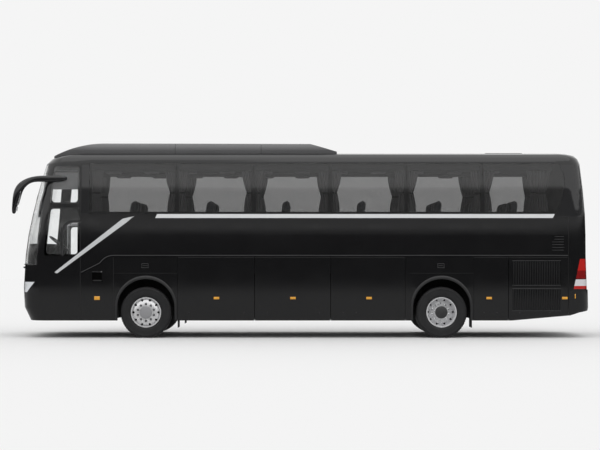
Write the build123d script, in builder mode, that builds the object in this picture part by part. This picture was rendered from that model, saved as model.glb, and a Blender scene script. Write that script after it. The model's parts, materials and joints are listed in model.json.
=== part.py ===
"""Two-axle touring coach with left-hand drive.

Millimetres.  X runs along the coach with the nose at -X, the driver's side is -Y and Z is up.
The origin lies on the ground under the middle of the bounding box.
"""
import os
from math import cos, radians, sin

from build123d import *

os.makedirs("parts", exist_ok=True)

# ---------------------------------------------------------------- driving dimensions
BODY_WIDTH = 2550
NOSE_X = -5685                # foremost point of the bumper, on the centre line
TAIL_X = 5740                 # rearmost point of the tail, on the centre line
SKIRT_Z = 345                 # lower edge of the side flaps
ARCH_SEAM_Z = 1283            # top of the panels round the wheels
BELT_Z = 1634                 # rub rail over the flaps
WAIST_Z = 2465                # lower edge of the side glass
CANT_Z = 3465                 # upper edge of the side glass
ROOF_Z = 3688                 # crown of the roof
FLOOR_Z = 1560                # saloon floor
DRIVER_FLOOR_Z = 1050
WALL = 55                     # whole thickness of walls, flaps and doors
GLASS = 12                    # bonded glass
NOSE_BOW = 3800               # plan radius of the front
TAIL_BOW = 9000               # plan radius of the rear
NOSE_CORNER = 350
TAIL_CORNER = 300

FRONT_AXLE_X = -3103
WHEELBASE = 5859
REAR_AXLE_X = FRONT_AXLE_X + WHEELBASE
TYRE_RADIUS = 506
TYRE_WIDTH = 276
RIM_RADIUS = 286              # bead seat of a 22.5 inch rim
WHEEL_INSET = 40              # outer sidewall behind the body side
TWIN_SPACING = 320            # between the middles of twin tyres
KINGPIN_Y = 930
STEER_ARM = 260
ARCH_HALF = 567               # half width of a wheel opening
ARCH_TOP_Z = 1168

SEAM = 8                      # gap round lids and doors, and over the flaps
FLAP_SEAM = 5                 # gap at each upright edge of a flap
SEAT_GAP = 0.3                # between pieces that seat on each other
PIN_GAP = 0.5                 # running gap at pins, hubs and bushes

HALF_WIDTH = BODY_WIDTH / 2
GLASS_HEIGHT = CANT_Z - WAIST_Z
ROOF_RISE = ROOF_Z - CANT_Z
WHEEL_Y = HALF_WIDTH - WHEEL_INSET - TYRE_WIDTH / 2

# side seams, along the coach
BUMPER_SEAM_X = -5168
CAB_SEAM_X = {-1: -4400, 1: -4300}
ROOF_FRONT_X = -4214
ROOF_REAR_X = 5007
FIRST_GLASS_X = -4228
PANEL_ENDS = (-3743, -2477, -951, 556, 2037, 2138, 3389, 4076, 5268)
REAR_TOP_SEAM_Z = 2382
PILLARS = (-2495, -971, 544, 2063, 3573)
PILLAR_WIDTH = 90

# levels of the body: height, drawn in at the side, at the nose and at the tail,
# then how much of a wall's thickness lies across and how much lies downwards
BODY_LEVELS = (
    (SKIRT_Z, 39, 145, 55, 1, 0),
    (SKIRT_Z + 255, 20, 23, 0, 1, 0),
    (SKIRT_Z + 655, 4, 5, 10, 1, 0),
    (BELT_Z, 0, 39, 29, 1, 0),
    ((BELT_Z + WAIST_Z) / 2, 0, 94, 30, 1, 0),
    (WAIST_Z, 19, 182, 41, 1, 0),
    (WAIST_Z + 0.5 * GLASS_HEIGHT, 46, 308, 82, 1, 0),
    (CANT_Z, 76, 458, 141, 1, 0.15),
    (CANT_Z + 0.43 * ROOF_RISE, 105, 555, 180, 0.85, 0.55),
    (CANT_Z + 0.74 * ROOF_RISE, 170, 705, 250, 0.6, 0.8),
    (CANT_Z + 0.93 * ROOF_RISE, 315, 895, 390, 0.4, 0.95),
    (ROOF_Z, 635, 1155, 670, 0.3, 1),
)


def body_section(height, half_width, nose, tail, nose_corner, tail_corner):
    """Plan of the body at one height, with bowed ends and round corners."""
    nose_sag = half_width ** 2 / 2 / NOSE_BOW
    tail_sag = half_width ** 2 / 2 / TAIL_BOW
    with BuildSketch(Plane.XY.offset(height)) as plan:
        with BuildLine():
            ThreePointArc((nose + nose_sag, half_width), (nose, 0), (nose + nose_sag, -half_width))
            Line((nose + nose_sag, -half_width), (tail - tail_sag, -half_width))
            ThreePointArc((tail - tail_sag, -half_width), (tail, 0), (tail - tail_sag, half_width))
            Line((tail - tail_sag, half_width), (nose + nose_sag, half_width))
        make_face()
        fillet(plan.vertices().sort_by(Axis.X)[:2], nose_corner)
        fillet(plan.vertices().sort_by(Axis.X)[-2:], tail_corner)
    return plan.sketch


def body_form(inset):
    """Closed form of the body, moved inwards by the inset and let down below the skirt."""
    plans = [
        body_section(
            height - inset * down,
            HALF_WIDTH - side_in - inset * across,
            NOSE_X + nose_in + inset * across,
            TAIL_X - tail_in - inset * across,
            NOSE_CORNER - inset,
            TAIL_CORNER - inset,
        )
        for height, side_in, nose_in, tail_in, across, down in BODY_LEVELS
    ]
    with BuildPart() as form:
        loft(sections=plans, ruled=True)
        if inset > 0:
            extrude(form.faces().sort_by(Axis.Z)[0], amount=SKIRT_Z / 2, dir=(0, 0, -1))
    return form.part


def block(x_span, y_span, z_span):
    """A box between two lengths, two widths and two heights."""
    with BuildPart() as box:
        with Locations((sum(x_span) / 2, sum(y_span) / 2, sum(z_span) / 2)):
            Box(x_span[1] - x_span[0], y_span[1] - y_span[0], z_span[1] - z_span[0])
    return box.part


def side_prism(points, y_span, radius=0):
    """A side-view outline carried across the coach between two widths."""
    with BuildPart() as prism:
        with BuildSketch(Plane.XZ.offset(-y_span[1])) as outline:
            with BuildLine():
                Polyline(*points, close=True)
            make_face()
            if radius:
                fillet(outline.vertices(), radius)
        extrude(amount=y_span[1] - y_span[0])
    return prism.part


def common(first, second):
    """What two forms share."""
    with BuildPart() as shared:
        add(first)
        add(second, mode=Mode.INTERSECT)
    return shared.part


def save(part, name):
    part.label = name
    export_step(part, f"parts/{name}.step")


outer = body_form(0)
behind_glass = body_form(GLASS)
inner = body_form(WALL)

with BuildPart() as shell:
    add(outer)
    add(inner, mode=Mode.SUBTRACT)
with BuildPart() as skin:
    add(outer)
    add(behind_glass, mode=Mode.SUBTRACT)
shell = shell.part
skin = skin.part

FAR = 8000                    # beyond every piece
RIGHT = (0, FAR)
LEFT = (-FAR, 0)
BOTH = (-FAR, FAR)
SIDE_SPAN = {-1: LEFT, 1: RIGHT}
SIDE_NAME = {-1: "left", 1: "right"}

# the shell in three stretches and the middle one in two halves, from which the panels are cut
nose_shell = common(shell, block((-FAR, ROOF_FRONT_X), BOTH, (0, FAR)))
tail_shell = common(shell, block((ROOF_REAR_X, FAR), BOTH, (0, FAR)))
side_shell = {
    side: common(shell, block((CAB_SEAM_X[-1], PANEL_ENDS[-1]), SIDE_SPAN[side], (0, CANT_Z)))
    for side in (-1, 1)
}

# ---------------------------------------------------------------- openings in the shell
SCREEN_BOTTOM_Z = 1440
SCREEN_TOP_Z = 3440
SCREEN_EDGE_X = -5269         # edge of the screen at its foot, seen from the side
SCREEN_LEAN = 0.103           # the edge runs back by this much for each millimetre up
BOND = 35                     # width of the flange under bonded glass
PILLAR_A = 125                # windscreen pillar
CAB_GLASS_BOTTOM_Z = 1624
CAB_GLASS_TOP_Z = 3406
CAB_BAR_Z = (2594, 2653)      # bar across the cab windows
CAB_GLASS_REAR = 24           # in front of the cab seam


def outer_span(side):
    """Widths from well inside one wall outwards."""
    return sorted((side * (HALF_WIDTH - 4 * WALL), side * FAR))


def screen_edge(height):
    return SCREEN_EDGE_X + SCREEN_LEAN * (height - SCREEN_BOTTOM_Z)


def screen_zone(margin):
    """Side view of the windscreen, drawn in by a margin."""
    low = SCREEN_BOTTOM_Z + margin
    high = SCREEN_TOP_Z - margin
    return side_prism(
        [(-FAR, low), (screen_edge(low) - margin, low), (screen_edge(high) - margin, high), (-FAR, high)],
        BOTH,
    )


def cab_pane_zone(side, z_span, margin):
    """Side view of one cab window behind the windscreen pillar."""
    low = z_span[0] + margin
    high = z_span[1] - margin
    front_low = screen_edge(low) + PILLAR_A + margin
    front_high = screen_edge(high) + PILLAR_A + margin
    rear = CAB_SEAM_X[side] - CAB_GLASS_REAR - margin
    return side_prism(
        [(front_low, low), (rear, low), (rear, high), (front_high, high)], outer_span(side), 60
    )


windscreen = common(skin, screen_zone(0))
save(windscreen, "windscreen")

# side glass: one pane between each two pillar lines, the last one with a curved end
PANE_GAP = 6
LAST_PANE = ((5019, WAIST_Z), (5200, WAIST_Z + 0.66 * GLASS_HEIGHT), (5098, CANT_Z))
GLASS_LINES = (FIRST_GLASS_X,) + PILLARS
pane_spans = list(zip(GLASS_LINES[:-1], GLASS_LINES[1:]))


def last_pane_zone(side, margin):
    with BuildPart() as zone:
        with BuildSketch(Plane.XZ.offset(-outer_span(side)[1])):
            with BuildLine():
                front = PILLARS[-1] + PANE_GAP / 2 + margin
                start = (LAST_PANE[0][0] - margin, WAIST_Z + margin)
                middle = (LAST_PANE[1][0] - margin, LAST_PANE[1][1])
                end = (LAST_PANE[2][0] - margin, CANT_Z - margin)
                Polyline(end, (front, end[1]), (front, start[1]), start)
                ThreePointArc(start, middle, end)
            make_face()
        extrude(amount=FAR - HALF_WIDTH + 4 * WALL)
    return zone.part


def pane_zones(side, margin, between):
    """Side panes drawn in by a margin, with a given space between two of them."""
    return [
        block(
            (start + between / 2, end - between / 2),
            outer_span(side),
            (WAIST_Z + margin, CANT_Z - margin),
        )
        for start, end in pane_spans
    ]


REAR_GLASS_Z = (2500, 3380)
REAR_GLASS_HALF = 1000


def rear_glass_zone(margin):
    with BuildPart() as zone:
        with BuildSketch(Plane.YZ.offset(TAIL_X - 12 * WALL)):
            with Locations((0, sum(REAR_GLASS_Z) / 2)):
                RectangleRounded(
                    2 * (REAR_GLASS_HALF - margin),
                    REAR_GLASS_Z[1] - REAR_GLASS_Z[0] - 2 * margin,
                    120 - margin,
                )
        extrude(amount=FAR)
    return zone.part


with BuildPart() as glass_zones:
    for side in (-1, 1):
        for zone in pane_zones(side, 0, PANE_GAP):
            add(zone)
        add(last_pane_zone(side, 0))
        add(cab_pane_zone(side, (CAB_BAR_Z[1], CAB_GLASS_TOP_Z), 0))
    add(cab_pane_zone(-1, (CAB_GLASS_BOTTOM_Z, CAB_BAR_Z[0]), 0))
    add(rear_glass_zone(0))
window_glass = common(skin, glass_zones.part)
save(window_glass, "window_glass")
panes = window_glass.solids()
cab_panes = panes.filter_by(lambda pane: pane.center().X < FIRST_GLASS_X)
rear_pane = panes.filter_by(lambda pane: abs(pane.center().Y) < REAR_GLASS_HALF / 2)
side_panes = {
    side: panes.filter_by(
        lambda pane: pane.center().X > FIRST_GLASS_X and side * pane.center().Y > HALF_WIDTH / 2
    ).sort_by(Axis.X)
    for side in (-1, 1)
}

# doors on the kerb side: front edge, rear edge, top
SILL_Z = 380
FRONT_DOOR = (-5060, -4330, 2330)
MID_DOOR = (1257, 2009, 2368)
DOOR_GLASS_BORDER = 90
DOOR_GLASS_CORNER = 70
DOOR_PANEL = 300              # closed lower panel of a leaf


def door_zone(door, gap):
    front, rear, top = door
    return block((front + gap, rear - gap), RIGHT, (SILL_Z + gap, top - gap))


# ---------------------------------------------------------------- front
BUMPER_TOP_Z = 1110
LAMP_BOTTOM_Z = 890
LAMP_SEAM_X = -5287
LAMP_INNER_Y = 720
FRONT_ZONE = {
    side: block((-FAR, CAB_SEAM_X[side]), SIDE_SPAN[side], (0, CANT_Z)) for side in (-1, 1)
}
bumper_zone = block((-FAR, BUMPER_SEAM_X), BOTH, (0, BUMPER_TOP_Z))

with BuildPart() as headlamp_zone:
    for side in (-1, 1):
        spans = sorted((side * LAMP_INNER_Y, side * FAR))
        add(block((-FAR, LAMP_SEAM_X), spans, (LAMP_BOTTOM_Z, BUMPER_TOP_Z)))
headlamp_zone = headlamp_zone.part

with BuildPart() as front_mask:
    for side in (-1, 1):
        add(common(nose_shell, FRONT_ZONE[side]))
    add(bumper_zone, mode=Mode.SUBTRACT)
    add(windscreen, mode=Mode.SUBTRACT)
    add(cab_panes, mode=Mode.SUBTRACT)
    add(screen_zone(BOND), mode=Mode.SUBTRACT)
    for side in (-1, 1):
        add(cab_pane_zone(side, (CAB_BAR_Z[1], CAB_GLASS_TOP_Z), BOND), mode=Mode.SUBTRACT)
    add(cab_pane_zone(-1, (CAB_GLASS_BOTTOM_Z, CAB_BAR_Z[0]), BOND), mode=Mode.SUBTRACT)
    add(door_zone(FRONT_DOOR, 0), mode=Mode.SUBTRACT)
save(front_mask.part, "front_mask")

BUMPER_SLOTS = 4
BUMPER_SLOT = (900, 26)       # width and height
BUMPER_SLOTS_Z = 640
BUMPER_SLOT_PITCH = 52
TOW_Y = 600
TOW_Z = 520
TOW_X = (-5590, -5470)        # mouth and end of the tow socket
TOW_RADIUS = 34
TOW_BORE_RADIUS = 18
tow_plane = Plane(origin=(TOW_X[0], TOW_Y, TOW_Z), x_dir=(0, 1, 0), z_dir=(1, 0, 0))
with BuildPart() as tow_tube:
    with BuildSketch(tow_plane):
        Circle(TOW_RADIUS)
    extrude(amount=TOW_X[1] - TOW_X[0])
with BuildPart() as tow_bore:
    with BuildSketch(tow_plane):
        Circle(TOW_BORE_RADIUS)
    extrude(amount=TOW_X[1] - TOW_X[0])
tow_tube = tow_tube.part
tow_bore = tow_bore.part
with BuildPart() as front_bumper:
    add(common(nose_shell, bumper_zone))
    add(headlamp_zone, mode=Mode.SUBTRACT)
    with Locations(*((NOSE_X, 0, BUMPER_SLOTS_Z + BUMPER_SLOT_PITCH * row) for row in range(BUMPER_SLOTS))):
        Box(600, BUMPER_SLOT[0], BUMPER_SLOT[1], mode=Mode.SUBTRACT)
    add(tow_tube)
    add(tow_bore, mode=Mode.SUBTRACT)
save(front_bumper.part, "front_bumper")
save(common(nose_shell, headlamp_zone), "headlamps")

# ---------------------------------------------------------------- side walls
RAIL_HEIGHT = 30
RAIL_PROUD = 14
# centre line of the rub rail where it swings down towards the cab: first point, bend, last point
RAIL_SWEEP = ((-3743, BELT_Z), (-4010, BELT_Z - 150), (-4386, BELT_Z - 337))
SIDE_REAR_X = 5019            # where the tail moulding starts above the waist
GAP_FRONT, FRONT_ARCH_END = PANEL_ENDS[0], PANEL_ENDS[1]
POST_START, POST_END = PANEL_ENDS[4], PANEL_ENDS[5]
REAR_ARCH_END, SERVICE_END, ENGINE_END = PANEL_ENDS[6:]
# recesses in the side: middle, height of the middle, width, height
STEP_RECESS = (-4069, 1208, 198, 198)
HANDLE_RECESSES = ((-3119, 1431, 118, 68), (2740, 1431, 118, 68))
RECESS_DEPTH = 30
LOUVRE_X = (4945, 5177)
LOUVRE_Z = (1745, 2015)
LOUVRE_SLOTS = 6
LOUVRE_SLOT = 16


def recess(side, middle_x, middle_z, width, height):
    """Pocket in one side of the body."""
    y_span = sorted((side * (HALF_WIDTH - RECESS_DEPTH), side * FAR))
    return block(
        (middle_x - width / 2, middle_x + width / 2), y_span, (middle_z - height / 2, middle_z + height / 2)
    )


with BuildPart() as rail_band:
    with BuildSketch(Plane.XZ.offset(-FAR)):
        with BuildLine() as rail_line:
            Line((ENGINE_END, BELT_Z), RAIL_SWEEP[0])
            TangentArc(RAIL_SWEEP[0], RAIL_SWEEP[1], tangent=(-1, 0))
            Line(RAIL_SWEEP[1], RAIL_SWEEP[2])
        trace(rail_line.line, line_width=RAIL_HEIGHT)
    extrude(amount=2 * FAR)
with BuildPart() as rub_rail:
    add(body_form(-RAIL_PROUD))
    add(rail_band.part, mode=Mode.INTERSECT)
    add(behind_glass, mode=Mode.SUBTRACT)

for side in (-1, 1):
    front = CAB_SEAM_X[side]
    span = SIDE_SPAN[side]
    with BuildPart() as side_wall:
        add(side_shell[side])
        add(block((ENGINE_END, FAR), span, (0, FAR)), mode=Mode.SUBTRACT)
        add(block((-FAR, front), span, (0, FAR)), mode=Mode.SUBTRACT)
        add(block((SIDE_REAR_X, FAR), span, (REAR_TOP_SEAM_Z, FAR)), mode=Mode.SUBTRACT)
        for start, end, top in (
            (GAP_FRONT, FRONT_ARCH_END, ARCH_SEAM_Z),
            (FRONT_ARCH_END, POST_START, BELT_Z - RAIL_HEIGHT),
            (POST_END, REAR_ARCH_END, ARCH_SEAM_Z),
            (REAR_ARCH_END, ENGINE_END, BELT_Z - RAIL_HEIGHT),
        ):
            add(block((start, end), span, (0, top)), mode=Mode.SUBTRACT)
        add(side_panes[side], mode=Mode.SUBTRACT)
        for zone in pane_zones(side, BOND, PILLAR_WIDTH) + [last_pane_zone(side, BOND)]:
            add(zone, mode=Mode.SUBTRACT)
        add(common(rub_rail.part, block((front, ENGINE_END), span, (0, FAR))))
        if side > 0:
            add(door_zone(MID_DOOR, 0), mode=Mode.SUBTRACT)
        else:
            add(recess(side, *STEP_RECESS), mode=Mode.SUBTRACT)
        for place in HANDLE_RECESSES:
            add(recess(side, *place), mode=Mode.SUBTRACT)
        pitch = (LOUVRE_Z[1] - LOUVRE_Z[0]) / (LOUVRE_SLOTS - 1)
        with Locations(*(
            (sum(LOUVRE_X) / 2, side * HALF_WIDTH, LOUVRE_Z[0] + pitch * row) for row in range(LOUVRE_SLOTS)
        )):
            Box(LOUVRE_X[1] - LOUVRE_X[0], 2 * RECESS_DEPTH, LOUVRE_SLOT, mode=Mode.SUBTRACT)
    save(side_wall.part, f"side_wall_{SIDE_NAME[side]}")


def arch_cut(axle_x):
    """Wheel opening: an arch standing on straight sides."""
    with BuildPart() as cut:
        with BuildSketch(Plane.XZ.offset(-FAR)):
            with BuildLine():
                foot = (axle_x - ARCH_HALF, 0)
                spring_z = TYRE_RADIUS + 60
                Polyline((axle_x - ARCH_HALF, spring_z), foot, (axle_x + ARCH_HALF, 0),
                         (axle_x + ARCH_HALF, spring_z))
                ThreePointArc((axle_x + ARCH_HALF, spring_z), (axle_x, ARCH_TOP_Z),
                              (axle_x - ARCH_HALF, spring_z))
            make_face()
        extrude(amount=2 * FAR)
    return cut.part


with BuildPart() as arch_panels:
    for start, end, axle_x in (
        (GAP_FRONT, FRONT_ARCH_END, FRONT_AXLE_X),
        (POST_END, REAR_ARCH_END, REAR_AXLE_X),
    ):
        for side in (-1, 1):
            add(common(side_shell[side], block((start, end), BOTH, (SKIRT_Z, ARCH_SEAM_Z))))
        add(arch_cut(axle_x), mode=Mode.SUBTRACT)
save(arch_panels.part, "arch_panels")

STRIPE_Z = (2376, 2455)
STRIPE_X = (-2921, 4999)
STRIPE_RAKE = 40              # the ends of the stripe run back by this much over its height
STRIPE_PROUD = 4
with BuildPart() as waist_trim:
    add(body_form(-STRIPE_PROUD))
    add(outer, mode=Mode.SUBTRACT)
    stripe = side_prism(
        [
            (STRIPE_X[0], STRIPE_Z[0]), (STRIPE_X[1] - STRIPE_RAKE, STRIPE_Z[0]),
            (STRIPE_X[1], STRIPE_Z[1]), (STRIPE_X[0] + STRIPE_RAKE, STRIPE_Z[1]),
        ],
        BOTH,
    )
    add(stripe, mode=Mode.INTERSECT)
save(waist_trim.part, "waist_trim")

# ---------------------------------------------------------------- flaps under the rub rail
FLAP_TOP_Z = BELT_Z - RAIL_HEIGHT - SEAM
R3_END = MID_DOOR[0] - 30
DEPARTURE = side_prism(
    [(4148, 0), (4148, SKIRT_Z), (5296, 446), (5484, 505), (FAR, 900), (FAR, 0)], BOTH
)
# name, side, front edge, rear edge
FLAPS = (
    ("luggage_flap_left_front", -1, FRONT_ARCH_END, PANEL_ENDS[2]),
    ("luggage_flap_left_middle", -1, PANEL_ENDS[2], PANEL_ENDS[3]),
    ("luggage_flap_left_rear", -1, PANEL_ENDS[3], POST_START),
    ("service_flap_left", -1, REAR_ARCH_END, SERVICE_END),
    ("engine_flap_left", -1, SERVICE_END, ENGINE_END),
    ("luggage_flap_right_front", 1, FRONT_ARCH_END, PANEL_ENDS[2]),
    ("luggage_flap_right_middle", 1, PANEL_ENDS[2], PANEL_ENDS[3]),
    ("luggage_flap_right_rear", 1, PANEL_ENDS[3], R3_END),
    ("service_flap_right", 1, REAR_ARCH_END, SERVICE_END),
    ("engine_flap_right", 1, SERVICE_END, ENGINE_END),
)
LIP_RADIUS = 6                # rolled hinge lip along the top of a flap
LIP_OUT = 2                   # its axis outside the body side
LIP_Z = BELT_Z - RAIL_HEIGHT - (SEAT_GAP + LIP_RADIUS) * cos(radians(18.4))
MARKER = (118, 60, 8)         # side marker lamp: length, height, proud of the flap
MARKER_Z = 785
FLAP_MARKERS = {
    "luggage_flap_left_front": -1703, "luggage_flap_left_middle": -189, "luggage_flap_left_rear": 1316,
    "service_flap_left": 3692, "engine_flap_left": 5190,
    "luggage_flap_right_front": -1703, "luggage_flap_right_middle": -189, "luggage_flap_right_rear": 1080,
    "service_flap_right": 3692, "engine_flap_right": 5190,
}
# grilles in the engine flaps: lower edge, upper edge
GRILLE_X = (4157, 5110)
GRILLES_Z = ((545, 970), (1049, 1525))
GRILLE_DEPTH = 24
GRILLE_BARS = 28
GRILLE_BAR = 12

for name, side, start, end in FLAPS:
    with BuildPart() as flap:
        zone = block((start + FLAP_SEAM, end - FLAP_SEAM), SIDE_SPAN[side], (SKIRT_Z, FLAP_TOP_Z))
        add(common(side_shell[side], zone))
        add(DEPARTURE, mode=Mode.SUBTRACT)
        lip_middle = ((start + end) / 2, side * (HALF_WIDTH + LIP_OUT), LIP_Z)
        with Locations(lip_middle):
            Cylinder(LIP_RADIUS, end - start - 2 * FLAP_SEAM, rotation=(0, 90, 0))
        with Locations((FLAP_MARKERS[name], side * (HALF_WIDTH - MARKER[2]), MARKER_Z)):
            Box(MARKER[0], 2 * MARKER[2] + 4, MARKER[1])
        if name.startswith("engine"):
            bar_pitch = (GRILLE_X[1] - GRILLE_X[0]) / GRILLE_BARS
            for low, high in GRILLES_Z:
                y_span = sorted((side * (HALF_WIDTH - GRILLE_DEPTH), side * FAR))
                add(block(GRILLE_X, y_span, (low, high)), mode=Mode.SUBTRACT)
                bar_y = side * (HALF_WIDTH - GRILLE_DEPTH)
                with Locations(*(
                    (GRILLE_X[0] + bar_pitch * (bar + 0.5), bar_y, (low + high) / 2)
                    for bar in range(GRILLE_BARS)
                )):
                    Box(GRILLE_BAR, GRILLE_DEPTH, high - low + 2)
    save(flap.part, name)

# ---------------------------------------------------------------- tail
LID_Z = (820, 1800)
LID_HALF = 800
TAIL_LAMP_Z = (950, 1584)
TAIL_LAMP_X = 5355
TAIL_LAMP_INNER_Y = 1040
REAR_BUMPER_TOP_Z = 950
BUMPER_PROUD = 18

with BuildPart() as tail_lamp_zone:
    for side in (-1, 1):
        spans = sorted((side * TAIL_LAMP_INNER_Y, side * FAR))
        add(block((TAIL_LAMP_X, FAR), spans, TAIL_LAMP_Z))
tail_lamp_zone = tail_lamp_zone.part
lid_zone = block((0, FAR), (-LID_HALF, LID_HALF), LID_Z)
bumper_zone_rear = block((ENGINE_END, FAR), BOTH, (0, REAR_BUMPER_TOP_Z))

with BuildPart() as rear_shell:
    add(common(tail_shell, block((ENGINE_END, FAR), BOTH, (REAR_BUMPER_TOP_Z, REAR_TOP_SEAM_Z))))
    add(common(tail_shell, block((SIDE_REAR_X, FAR), BOTH, (REAR_TOP_SEAM_Z, CANT_Z))))
    add(common(tail_shell, block((ROOF_REAR_X, FAR), BOTH, (CANT_Z, FAR))))
    for cut in (side_panes[-1][-1:], side_panes[1][-1:], rear_pane):
        add(cut, mode=Mode.SUBTRACT)
    for side in (-1, 1):
        add(last_pane_zone(side, BOND), mode=Mode.SUBTRACT)
    add(rear_glass_zone(BOND), mode=Mode.SUBTRACT)
    add(tail_lamp_zone, mode=Mode.SUBTRACT)
    add(lid_zone, mode=Mode.SUBTRACT)
save(rear_shell.part, "rear_shell")

LID_HINGE = (TAIL_X - 21.5, LID_Z[1])     # axis of the engine lid, along and up
LID_HINGE_Y = 450
LID_HINGE_LENGTH = 120
LID_HINGE_RADIUS = 16
LID_SLOTS = 8
LID_SLOT = (1150, 22)         # width and height
LID_SLOTS_Z = (900, 1250)
with BuildPart() as engine_lid:
    zone = block(
        (0, FAR), (-LID_HALF + SEAM, LID_HALF - SEAM), (LID_Z[0] + SEAM, LID_Z[1] - SEAM)
    )
    add(common(tail_shell, zone))
    slot_pitch = (LID_SLOTS_Z[1] - LID_SLOTS_Z[0]) / (LID_SLOTS - 1)
    with Locations(*((TAIL_X, 0, LID_SLOTS_Z[0] + slot_pitch * row) for row in range(LID_SLOTS))):
        Box(400, LID_SLOT[0], LID_SLOT[1], mode=Mode.SUBTRACT)
    with Locations(*((LID_HINGE[0], side * LID_HINGE_Y, LID_HINGE[1]) for side in (-1, 1))):
        Cylinder(LID_HINGE_RADIUS, LID_HINGE_LENGTH, rotation=(90, 0, 0))
    strap_x = (LID_HINGE[0] - LID_HINGE_RADIUS - WALL / 2, LID_HINGE[0])
    for side in (-1, 1):
        middle = side * LID_HINGE_Y
        y_span = (middle - LID_HINGE_LENGTH / 2, middle + LID_HINGE_LENGTH / 2)
        add(block(strap_x, y_span, (LID_Z[1] - 60, LID_Z[1] - SEAM)))
save(engine_lid.part, "engine_lid")

with BuildPart() as rear_bumper:
    add(common(body_form(-BUMPER_PROUD), bumper_zone_rear))
    add(inner, mode=Mode.SUBTRACT)
    add(DEPARTURE, mode=Mode.SUBTRACT)
    add(lid_zone, mode=Mode.SUBTRACT)
save(rear_bumper.part, "rear_bumper")
save(common(tail_shell, tail_lamp_zone), "signal_lamps")

# ---------------------------------------------------------------- roof
HATCH_X = (3760, 4460)
HATCH_HALF = 330
HATCH_RISE = 36
HATCH_LIP = 40
with BuildPart() as front_dome:
    add(common(nose_shell, block((-FAR, ROOF_FRONT_X), BOTH, (CANT_Z, FAR))))
save(front_dome.part, "front_dome")
with BuildPart() as roof_shell:
    add(common(shell, block((ROOF_FRONT_X, ROOF_REAR_X), BOTH, (CANT_Z, FAR))))
    add(block(HATCH_X, (-HATCH_HALF, HATCH_HALF), (CANT_Z, FAR)), mode=Mode.SUBTRACT)
save(roof_shell.part, "roof_shell")
with BuildPart() as roof_hatch:
    add(block((HATCH_X[0] - HATCH_LIP, HATCH_X[1] + HATCH_LIP),
              (-HATCH_HALF - HATCH_LIP, HATCH_HALF + HATCH_LIP),
              (ROOF_Z + 0.5, ROOF_Z + HATCH_RISE)))
    fillet(roof_hatch.edges().filter_by(Axis.Z), 60)
    fillet(roof_hatch.faces().sort_by(Axis.Z)[-1].edges(), 18)
save(roof_hatch.part, "roof_hatch")

POD_START_X = -4984
POD_END_X = 689
POD_TOP_Z = 3890
POD_HALF = 940
POD_SEAMS = (-2553, -830)
with BuildPart() as roof_pod:
    with BuildSketch(Plane.XZ.offset(-POD_HALF)):
        with BuildLine():
            Polyline((-3766, POD_TOP_Z), (155, POD_TOP_Z - 15), (POD_END_X, 3715), (POD_END_X, 3500),
                     (POD_START_X, 3500), (POD_START_X, 3620))
            ThreePointArc((POD_START_X, 3620), (-4460, 3822), (-3766, POD_TOP_Z))
        make_face()
    extrude(amount=2 * POD_HALF)
    fillet(roof_pod.faces().sort_by(Axis.X)[0].edges().filter_by(Axis.Z), 50)
    with BuildSketch(Plane.YZ.offset(POD_START_X - 10)):
        with Locations((0, 3300)):
            RectangleRounded(2 * POD_HALF, 2 * (POD_TOP_Z - 3300), 150)
    extrude(amount=POD_END_X - POD_START_X + 20, mode=Mode.INTERSECT)
    add(outer, mode=Mode.SUBTRACT)
    for seam in POD_SEAMS:
        with Locations((seam, 0, ROOF_Z)):
            Box(6, 3 * POD_HALF, 600, mode=Mode.SUBTRACT)
save(roof_pod.part, "roof_pod")

# ---------------------------------------------------------------- doors
ARM_REACH = 420               # from the post to the leaf's pin
ARM_START = -5                # degrees of the arm to the coach, shut
ARM_BEND = 140
ARM_STRAIGHT = 0.68           # share of the reach before an arm bends to its pin
ARM_TUBE = 15
POST_RADIUS = 22
POST_INSET = 115              # post behind the body side
POST_FROM_EDGE = 50
ARM_LOW_Z = 600
ARM_BELOW_TOP = 45
LOWEST_STEP_Z = 420
BUSH = 34                     # height of the eye at each end of an arm

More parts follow.
